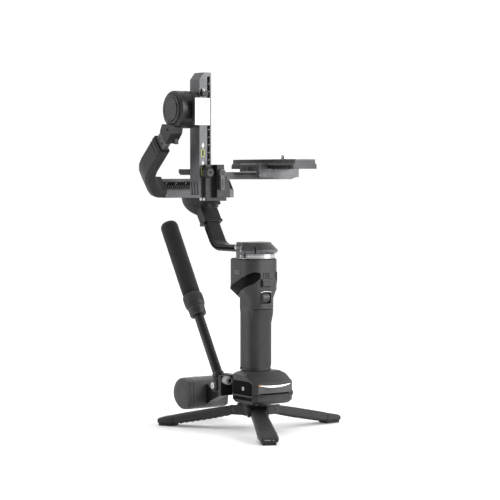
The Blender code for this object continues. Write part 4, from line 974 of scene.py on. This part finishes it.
def dress_roll():
    rings("roll_fins", ("black_metal", "pan_arm", "black_metal"),
          [(24.2, 24.9, 12.0 + 2.3 * i, 13.2 + 2.3 * i) for i in range(9)], ROLL_FRAME, 72)
    rings("roll_cap_rings", ("dark_metal", "pan_arm", "black_metal"),
          [(14.0, 15.0, -0.35, 0.2), (21.4, 22.0, -0.2, 0.3)], ROLL_FRAME, 60)
    spots = []
    for i in range(4):
        turn = math.tau * (i + 0.5) / 4
        spot = ROLL_FRAME @ Vector((18 * math.cos(turn), 18 * math.sin(turn), 0.1))
        spots.append(place(spot, -ROLL_ALONG, (1, 0, 0)))
    screws("roll_cap_screws", "pan_arm", spots, 1.5, 0.6)
    rings("roll_rotor_band", ("dark_metal", "roll_rotor", "black_metal"),
          [(24.0, 24.9, 36.0, 38.6)], ROLL_FRAME, 72)
    top = extent("roll_lock_knob")[1].z
    knurled("roll_lock_knurls", ("black_rubber", "roll_lock", "black_rubber"),
            (-6, 88.5, top - 4.2), "z", 8.7, 20, (0, -0.5, -0.3), (3.2, 0.5, 0.5), 0.15)


# the leaning facet in (y, z), from its foot to its crest, and its two ends in x
RAIL_FOOT, RAIL_CREST = (79.0, 291.5), (88.5, 305.0)
RAIL_LEFT, RAIL_RIGHT = -87.8, 19.8


def on_slope(share, lift):
    """A point as (y, z) on the rail's leaning facet, lifted off it."""
    y = RAIL_FOOT[0] + (RAIL_CREST[0] - RAIL_FOOT[0]) * share
    z = RAIL_FOOT[1] + (RAIL_CREST[1] - RAIL_FOOT[1]) * share
    return y - 0.818 * lift, z + 0.576 * lift


def slope_patch(bm, x0, x1, low, high, lift=0.2):
    corners = [on_slope(low, -0.1), on_slope(low, lift), on_slope(high, lift), on_slope(high, -0.1)]
    return loft(bm, [[(x, y, z) for y, z in corners] for x in (x0, x1)])


def dress_rail():
    strip = bmesh.new()
    slope_patch(strip, -87.4, 19.4, 0.2, 0.82, 0.15)
    add_piece("rail_strip", strip, "groove_and_shade_black", "roll_arm", "black_metal")
    ticks = bmesh.new()
    for i in range(34):
        x = -84.0 + 3.0 * i
        slope_patch(ticks, x, x + 0.35, 0.24, 0.5 if i % 5 else 0.62, 0.22)
    for i in range(7):
        x = -82.0 + 15.0 * i
        corners = [(x - 1.0, 0.66), (x + 1.0, 0.66), (x, 0.78)]
        loft(ticks, [[(cx, *on_slope(share, lift)) for cx, share in corners] for lift in (0.05, 0.24)])
    add_piece("rail_ticks", ticks, "mark_grey", "roll_arm", "grey_metal")
    light = bmesh.new()
    slope_patch(light, RAIL_LEFT, RAIL_RIGHT, 0.0, 0.07, 0.3)
    slope_patch(light, RAIL_LEFT, RAIL_RIGHT, 0.93, 1.0, 0.3)
    for low in (284.2, 288.4):
        block(light, (RAIL_LEFT, 78.8, low), (RAIL_RIGHT, 79.1, low + 0.4), 0.08)
    add_piece("rail_edges", light, "grey_metal", "roll_arm", "grey_metal")
    end = bmesh.new()
    outline = [(80.5, 284), (84.5, 284), (85.5, 289), (95.5, 302), (94.0, 305), (89.5, 303), (80.5, 291)]
    plate(end, outline, -0.1, 0.6, facing("+x", 20.0, 0, 0), 0.2)
    add_piece("rail_end_cap", end, "black_plastic", "roll_arm", "black_plastic")


LINK_DROP = -17.0


def link_point(x, t, across=0.0):
    """A point on the link: x from the roll axis, t along it, and across from the link's own middle."""
    return ROLL_POINT + Vector((x, 0, 0)) + ROLL_ALONG * t + ROLL_UP * (LINK_DROP + across)


def dress_link():
    grooves = bmesh.new()
    section = ((-135.66, -12.4), (-135.66, 12.4), (-135.4, 12.4), (-135.4, -12.4))
    for start, width in ((128.0, 0.7), (134.5, 1.0)):
        loft(grooves, [[link_point(x, t, across) for x, across in section]
                       for t in (start, start + width)])
    add_piece("link_grooves", grooves, "groove_and_shade_black", "roll_arm", "black_plastic")
    bolts = [place(link_point(-132.6, 144.0, across), (-1, 0, 0), ROLL_ALONG) for across in (4.5, -4.5)]
    screws("link_bolts", "roll_arm", bolts, 1.8, 0.7, "dark_metal", "grey_metal")
    ribs = bmesh.new()
    for i in range(7):
        at = place(link_point(-120.3, 100.0 + 4.2 * i), (1, 0, 0), ROLL_ALONG)
        block(ribs, (-0.8, -8.5, -0.3), (0.8, 8.5, 0.5), 0.2, at)
    add_piece("link_ribs", ribs, "black_plastic", "roll_arm", "black_plastic")


# tilt motor, upright and light

def dress_tilt():
    level = TILT_POINT.z
    face = facing("-x", extent("tilt_cap")[0].x, 0, level)
    rings("tilt_cap_ring", ("dark_metal", "roll_arm", "black_metal"), [(13.2, 14.0, -0.2, 0.35)], face, 60)
    turned("tilt_cap_centre", ("shell_plastic", "roll_arm", "black_plastic"),
           [(12.9, -0.1), (12.9, 0.1), (6.0, 0.35), (1.0, 0.4)], face, 48)
    ticks = bmesh.new()
    for i in range(15):
        turn = math.radians(45 + 6.4 * i)
        at = face @ Matrix.Translation((0, 0, -1.05)) @ Matrix.Rotation(turn, 4, "Z")
        block(ticks, (16.0, -0.18, -0.2), (17.4 if i % 2 else 18.0, 0.18, 0.25), 0.05, at)
    add_piece("tilt_ticks", ticks, "mark_grey", "roll_arm", "black_plastic")
    screws("tilt_tail_screw", "roll_arm", [facing("-x", -132.4, 3.0, level - 25.5)], 1.6, 0.6,
           "gloss_black", "black_metal")
    rings("tilt_bands", ("groove_and_shade_black", "roll_arm", "black_metal"),
          [(23.22, 23.62, low, low + 0.6) for low in (5.4, 19.4)], facing("+x", -127.5, 0, level), 72)
    switch = bmesh.new()
    at = place((-112, -9.5, level + 21.6), (0, -0.4, 0.917), (1, 0, 0))
    block(switch, (-3.0, -2.6, -0.8), (3.0, 2.6, 0.4), 0.3, at)
    for i in range(4):
        block(switch, (-2.2 + 1.3 * i, -1.6, 0.2), (-1.6 + 1.3 * i, 1.6, 0.65), 0.1, at)
    add_piece("tilt_lock_switch", switch, "black_plastic", "roll_arm", "black_plastic")
    blocks("tilt_tail_ribs", ("black_plastic", "roll_arm", "black_plastic"),
           [((-122.5, 2.0 + 4.0 * i, level - 43.5 + 2.6 * i), (-116.5, 4.4 + 4.0 * i, level - 36.0))
            for i in range(4)], 0.4)
    shaft = extent("tilt_shaft")[1].x
    rings("tilt_flange_band", ("dark_metal", "tilt_frame", "black_metal"),
          [(21.2, 21.8, shaft - 3.6, shaft - 1.4)], facing("+x", 0, 0, level), 72)


def dress_upright():
    low, high = extent("upright_arm")
    front = low.y
    plane = facing("-y", 0, front, 0)
    blocks("upright_track", ("groove_and_shade_black", "tilt_frame", "black_metal"),
           [((-84.0, front - 0.25, low.z + 4), (-80.0, front + 0.1, high.z - 5))])
    notches = []
    for count, pitch, left, right, out, back, tall in ((15, 9.6, -83.6, -80.4, -0.42, -0.2, 0.7),
                                                       (30, 4.8, -79.7, -78.4, -0.2, 0.05, 0.45)):
        for i in range(count):
            z = low.z + 9.0 + pitch * i
            notches.append(((left, front + out, z), (right, front + back, z + tall)))
    blocks("upright_notches", ("mark_grey", "tilt_frame", "grey_metal"), notches, 0.06)
    arrows = bmesh.new()
    for z in (348.0, 325.4):
        plate(arrows, [(-93.0, z), (-88.2, z), (-90.6, z + 5.0)], 0, 0.25, plane)
        block(arrows, (-91.4, z - 1.8, 0), (-89.8, z + 0.1, 0.25), 0.05, plane)
    add_piece("upright_arrows", arrows, "mark_white", "tilt_frame", "grey_metal")
    sides = []
    for z0, z1 in ((334.6, 344.6), (311.6, 321.8)):
        sides += [((-93.2, z0, 0), (-88.0, z0 + 0.9, 0.25)), ((-93.2, z1 - 0.9, 0), (-88.0, z1, 0.25)),
                  ((-93.2, z0, 0), (-92.3, z1, 0.25)), ((-88.9, z0, 0), (-88.0, z1, 0.25))]
    blocks("upright_frames", ("mark_lime", "tilt_frame", "grey_metal"), sides, 0.05, plane)
    blocks("upright_bars", ("groove_and_shade_black", "tilt_frame", "black_metal"),
           [((-91.2, z0, 0), (-90.0, z1, 0.22)) for z0, z1 in ((336.6, 342.6), (313.6, 319.8))],
           0.05, plane)
    grooves = bmesh.new()
    for i in range(3):
        loops = []
        for share in (step / 8 for step in range(9)):
            y, z = -11.0 + 6.4 * i + 3.0 * share ** 2, 286.5 + 17.0 * share
            loops.append([(-95.75, y, z), (-95.75, y + 1.5, z), (-95.4, y + 1.5, z), (-95.4, y, z)])
        loft(grooves, loops)
    add_piece("upright_grooves", grooves, "groove_and_shade_black", "tilt_frame", "black_metal")
    pins = bmesh.new()
    for x in (-91.0, -86.2):
        lathe(pins, [(1.3, -0.2), (1.3, 2.8), (1.0, 3.3)], facing("-z", x, -9.5, low.z), 20)
    add_piece("upright_pins", pins, "silver_metal", "tilt_frame", "silver_metal")
    blocks("upright_latch", ("black_plastic", "tilt_frame", "black_plastic"),
           [((-93.5, front - 3.6, 411.0), (-84.6, front + 0.2, 417.4))], 0.5)
    turned("upright_peg", ("silver_metal", "tilt_frame", "silver_metal"),
           [(1.5, -0.5), (1.5, 3.2), (1.1, 3.8), (0.5, 3.8)],
           facing("+z", -91.0, front - 1.9, 416.8), 22)
    side = [facing("+x", -78.1, -3.0, z) for z in (430.0, 294.0)]
    screws("upright_screws", "tilt_frame", side, 1.7, 0.6, "dark_metal", "black_metal")


def dress_light():
    low, high = extent("fill_light")
    rim = bmesh.new()
    outer = box_outline(low.x, low.z, high.x, high.z)
    inner = box_outline(low.x + 0.9, low.z + 0.9, high.x - 0.9, high.z - 0.9)
    loft(rim, [[(x, y, z) for x, z in outline]
               for outline, y in ((inner, -32.0), (outer, -31.7), (outer, -30.5), (inner, -30.5))],
         closed=False)
    add_piece("light_rim", rim, "pale_metal", "tilt_frame", "lamp_white")
    blocks("light_fins", ("black_plastic", "tilt_frame", "black_plastic"),
           [((-110.8 + 3.3 * i, -24.7, 377.5), (-109.7 + 3.3 * i, -23.6, 383.0)) for i in range(6)], 0.2)


# camera carriage

KNOB_X, KNOB_Z = -89.4, 315.0


def dress_carriage():
    low = extent("height_knob")[0]
    knurled("height_knob_knurls", ("black_rubber", "height_knob", "black_rubber"),
            (KNOB_X, low.y + 1.6, KNOB_Z), "y", 6.5, 18, (0, -0.6, -0.3), (4.6, 0.6, 0.55), 0.2)
    rings("height_knob_face", ("dark_metal", "height_knob", "black_metal"),
          [(2.4, 4.4, -0.1, 0.5)], facing("-y", KNOB_X, low.y, KNOB_Z), 32)
    boss = bmesh.new()
    at = facing("-y", -72.4, extent("slide_lever")[0].y, 314.6)
    lathe(boss, [(3.3, -0.1), (3.3, 0.5), (2.8, 0.9), (1.6, 0.9), (1.2, 0.4)], at, 32)
    block(boss, (-1.1, -19.5, -0.1), (1.1, -7.0, 0.35), 0.2, at)
    add_piece("slide_lever_boss", boss, "dark_metal", "bar_lever", "black_metal")
    spots = [facing("-y", x, -27.0, z) for x, z in ((-63.5, 288.5), (-74.0, 288.0), (-62.0, 302.0))]
    spots += [facing("-y", -87.0, -20.0, z) for z in (288.5, 301.0)]
    screws("bracket_screws", "height_bracket", spots, 1.4, 0.5, "dark_metal", "black_metal")
    lines = [((-77.4, -27.2, 303.0), (-58.2, -26.9, 303.7)),
             ((-89.8, -20.2, 305.6), (-78.4, -19.9, 306.2))]
    lines += [((-90.25, -19.0, 286.0 + 4.0 * i), (-89.9, -15.2, 287.4 + 4.0 * i)) for i in range(5)]
    blocks("bracket_lines", ("dark_metal", "height_bracket", "black_metal"), lines)


def dress_bar():
    blocks("bar_groove", ("groove_and_shade_black", "camera_bar", "black_metal"),
           [((-50.0, -24.2, 312.6), (39.5, -23.9, 313.9))], 0.08)
    blocks("bar_edges", ("grey_metal", "camera_bar", "grey_metal"),
           [((-50.0, -24.35, 314.3), (47.4, -23.9, 315.5)),
            ((-50.0, -24.35, 306.5), (39.6, -23.9, 307.3))], 0.12)
    ticks = []
    for i in range(24):
        x = -52.0 + 4.0 * i
        if abs(x) > 33:
            ticks.append(((x, -22.0, 315.65), (x + 0.35, -17.0 if i % 5 else -14.0, 315.85)))
    blocks("bar_ticks", ("mark_grey", "camera_bar", "grey_metal"), ticks, 0.04)
    blocks("bar_tail_ribs", ("black_plastic", "camera_bar", "black_plastic"),
           [((-72.35, 33.0 + 4.2 * i, 313.2), (-71.8, 35.2 + 4.2 * i, 319.0)) for i in range(9)], 0.15)
    stop = bmesh.new()
    screw(stop, facing("+y", -66.5, 71.7, 315.9), 2.2, 0.6)
    screw(stop, facing("+x", 47.9, 0, 311.8), 2.0, 0.6)
    add_piece("bar_end_screws", stop, "silver_metal", "camera_bar", "silver_metal")


RECEIVER_X = -30.9


def dress_receiver():
    blocks("receiver_edges", ("grey_metal", "camera_bar", "grey_metal"),
           [((-31.1, -53.0, 309.4), (-29.6, -52.6, 326.0)),
            ((-31.1, -53.0, 309.0), (30.9, -52.6, 309.9))])
    bolts = [facing("-x", RECEIVER_X, y, 321.0) for y in (-44.0, -20.0)]
    bolts += [facing("+z", x, y, 326.5) for x in (-25.0, 25.0) for y in (-46.0, -15.0)]
    screws("receiver_screws", "camera_bar", bolts, 1.9, 0.6, "dark_metal", "grey_metal")
    turned("receiver_button", ("black_plastic", "camera_bar", "black_plastic"),
           [(2.6, -0.1), (2.6, 1.4), (2.1, 1.9), (1.0, 1.7)],
           facing("-x", RECEIVER_X, -32.0, 320.4), 28)
    turned("plate_lever_boss", ("silver_metal", "plate_lever", "silver_metal"),
           [(3.0, -0.1), (3.0, 0.4), (2.4, 0.7), (1.2, 0.7), (0.9, 0.3)],
           facing("+x", extent("plate_lever")[1].x, -16.0, 321.0), 28)


def dress_plate():
    rows = [-102.0 + 3.4 * i for i in range(26)]
    blocks("plate_ribs", ("groove_and_shade_black", "camera_plate", "black_metal"),
           [((x - 0.25, y, 320.2), (x + 0.25, y + 1.7, 324.2))
            for x in (-18.0, 18.0) for y in rows if not -56.0 < y < -6.0], 0.12)
    edges = [((x - 0.5, -107.6, 331.1), (x + 0.5, 28.2, 331.75)) for x in (-15.4, 15.4)]
    edges += [((-15.2, -108.2, 330.2), (15.2, -107.8, 331.3))]
    blocks("plate_edges", ("grey_metal", "camera_plate", "grey_metal"), edges, 0.12)
    nose = bmesh.new()
    block(nose, (4.9, -108.15, 320.0), (5.5, -107.8, 330.0), 0.06)
    block(nose, (-6.0, -108.12, 321.6), (0.6, -107.9, 328.0), 0.3)
    add_piece("plate_nose_lines", nose, "dark_metal", "camera_plate", "black_metal")
    blocks("plate_grips", ("black_rubber", "camera_plate", "black_rubber"),
           [((x - 4.2, -96.0 + 2.8 * i, 331.4), (x + 4.2, -94.5 + 2.8 * i, 331.85))
            for x in (-9.4, 9.4) for i in range(40)], 0.15)
    knurls = bmesh.new()
    for i in range(9):
        at = facing("-z", 0, -62.0, 319.9) @ Matrix.Rotation(math.tau * i / 9, 4, "Z")
        block(knurls, (2.6, -0.2, -0.05), (6.2, 0.2, 0.3), 0.08, at)
    add_piece("screw_knurls", knurls, "dark_metal", "camera_screw", "silver_metal")


# stage

def light_world(tree):
    """A white wall of light on the far side, falling off to a dim room on the near side."""
    where = tree.nodes.new("ShaderNodeTexCoord")
    toward = tree.nodes.new("ShaderNodeVectorMath")
    toward.operation = "DOT_PRODUCT"
    toward.inputs[1].default_value = (0.574, 0.819, 0.0)
    tree.links.new(where.outputs["Generated"], toward.inputs[0])
    strength = tree.nodes.new("ShaderNodeMapRange")
    strength.interpolation_type = "SMOOTHSTEP"
    for socket, number in ((1, -0.2), (2, 0.85), (3, 0.22), (4, 1.05)):
        strength.inputs[socket].default_value = number
    tree.links.new(toward.outputs["Value"], strength.inputs[0])
    tree.links.new(strength.outputs[0], tree.nodes["Background"].inputs["Strength"])
    tree.nodes["Background"].inputs["Color"].default_value = (1.0, 1.0, 1.0, 1)


FLOOR_HEIGHT = -0.0203
LAMP_TARGET = Vector((0, 0, 0.2))
# each lamp's place in metres, its sides in metres and its power in watts
SOFTBOXES = (("front_softbox", (1.35, -1.65, 1.0), (1.1, 1.5), 56),
             ("left_softbox", (-1.75, 1.0, 0.9), (0.7, 1.5), 15),
             ("top_softbox", (-0.2, 0.1, 2.1), (1.3, 1.3), 26))


def set_floor(scene):
    """A pale floor at the feet's height; its own light grows with the distance from the part."""
    mesh = bpy.data.meshes.new("floor")
    bm = bmesh.new()
    bmesh.ops.create_grid(bm, x_segments=2, y_segments=2, size=9.0)
    bm.transform(Matrix.Translation((0, 0, FLOOR_HEIGHT)))
    bm.to_mesh(mesh)
    bm.free()
    material, tree, shader = tree_of("pale_floor")
    shader.inputs["Base Color"].default_value = (0.86, 0.86, 0.86, 1)
    shader.inputs["Roughness"].default_value = 0.8
    where = node(tree, "ShaderNodeNewGeometry")
    away = node(tree, "ShaderNodeVectorMath", operation="LENGTH")
    tree.links.new(where.outputs["Position"], away.inputs[0])
    tree.links.new(spread(tree, away.outputs["Value"], 0.12, 0.62, 0.4, 2.4),
                   shader.inputs["Emission Strength"])
    shader.inputs["Emission Color"].default_value = (1.0, 1.0, 1.0, 1)
    mesh.materials.append(material)
    floor = bpy.data.objects.new("floor", mesh)
    scene.collection.objects.link(floor)


def set_stage():
    scene = bpy.context.scene
    for name in ("Cube", "Light", "Camera"):
        if name in bpy.data.objects:
            bpy.data.objects.remove(bpy.data.objects[name], do_unlink=True)
    set_floor(scene)
    world = bpy.data.worlds.new("studio")
    world.use_nodes = True
    light_world(world.node_tree)
    scene.world = world
    for name, spot, size, power in SOFTBOXES:
        lamp = bpy.data.lights.new(name, "AREA")
        lamp.shape, (lamp.size, lamp.size_y), lamp.energy = "RECTANGLE", size, power
        obj = bpy.data.objects.new(name, lamp)
        obj.location = spot
        obj.rotation_euler = (LAMP_TARGET - Vector(spot)).to_track_quat("-Z", "Y").to_euler()
        scene.collection.objects.link(obj)
    scene.view_settings.view_transform = "Standard"


def set_camera():
    """The photograph's view: from the left of straight ahead, a little above the middle."""
    data = bpy.data.cameras.new("view")
    data.lens, data.sensor_width = 130.6, 36.0
    obj = bpy.data.objects.new("view", data)
    spot = Vector((-1.349, -1.925, 0.312))
    aim = Vector((-spot.x, -spot.y, 0)).normalized()
    aim = Matrix.Rotation(math.radians(0.17), 3, "Z") @ aim
    aim.z = -math.tan(math.radians(2.37))
    obj.location = spot
    obj.rotation_euler = aim.to_track_quat("-Z", "Y").to_euler()
    bpy.context.scene.collection.objects.link(obj)
    bpy.context.scene.camera = obj


set_stage()
set_camera()
dress_cad()
for dress in (dress_tripod, dress_base, dress_mount, dress_sling, make_wrist_pad, make_inlays,
              dress_grip, dress_head, dress_dial, dress_buttons, dress_screen, dress_inside,
              dress_pan, dress_pan_arm, dress_roll, dress_rail, dress_link,
              dress_tilt, dress_upright, dress_light,
              dress_carriage, dress_bar, dress_receiver, dress_plate):
    dress()
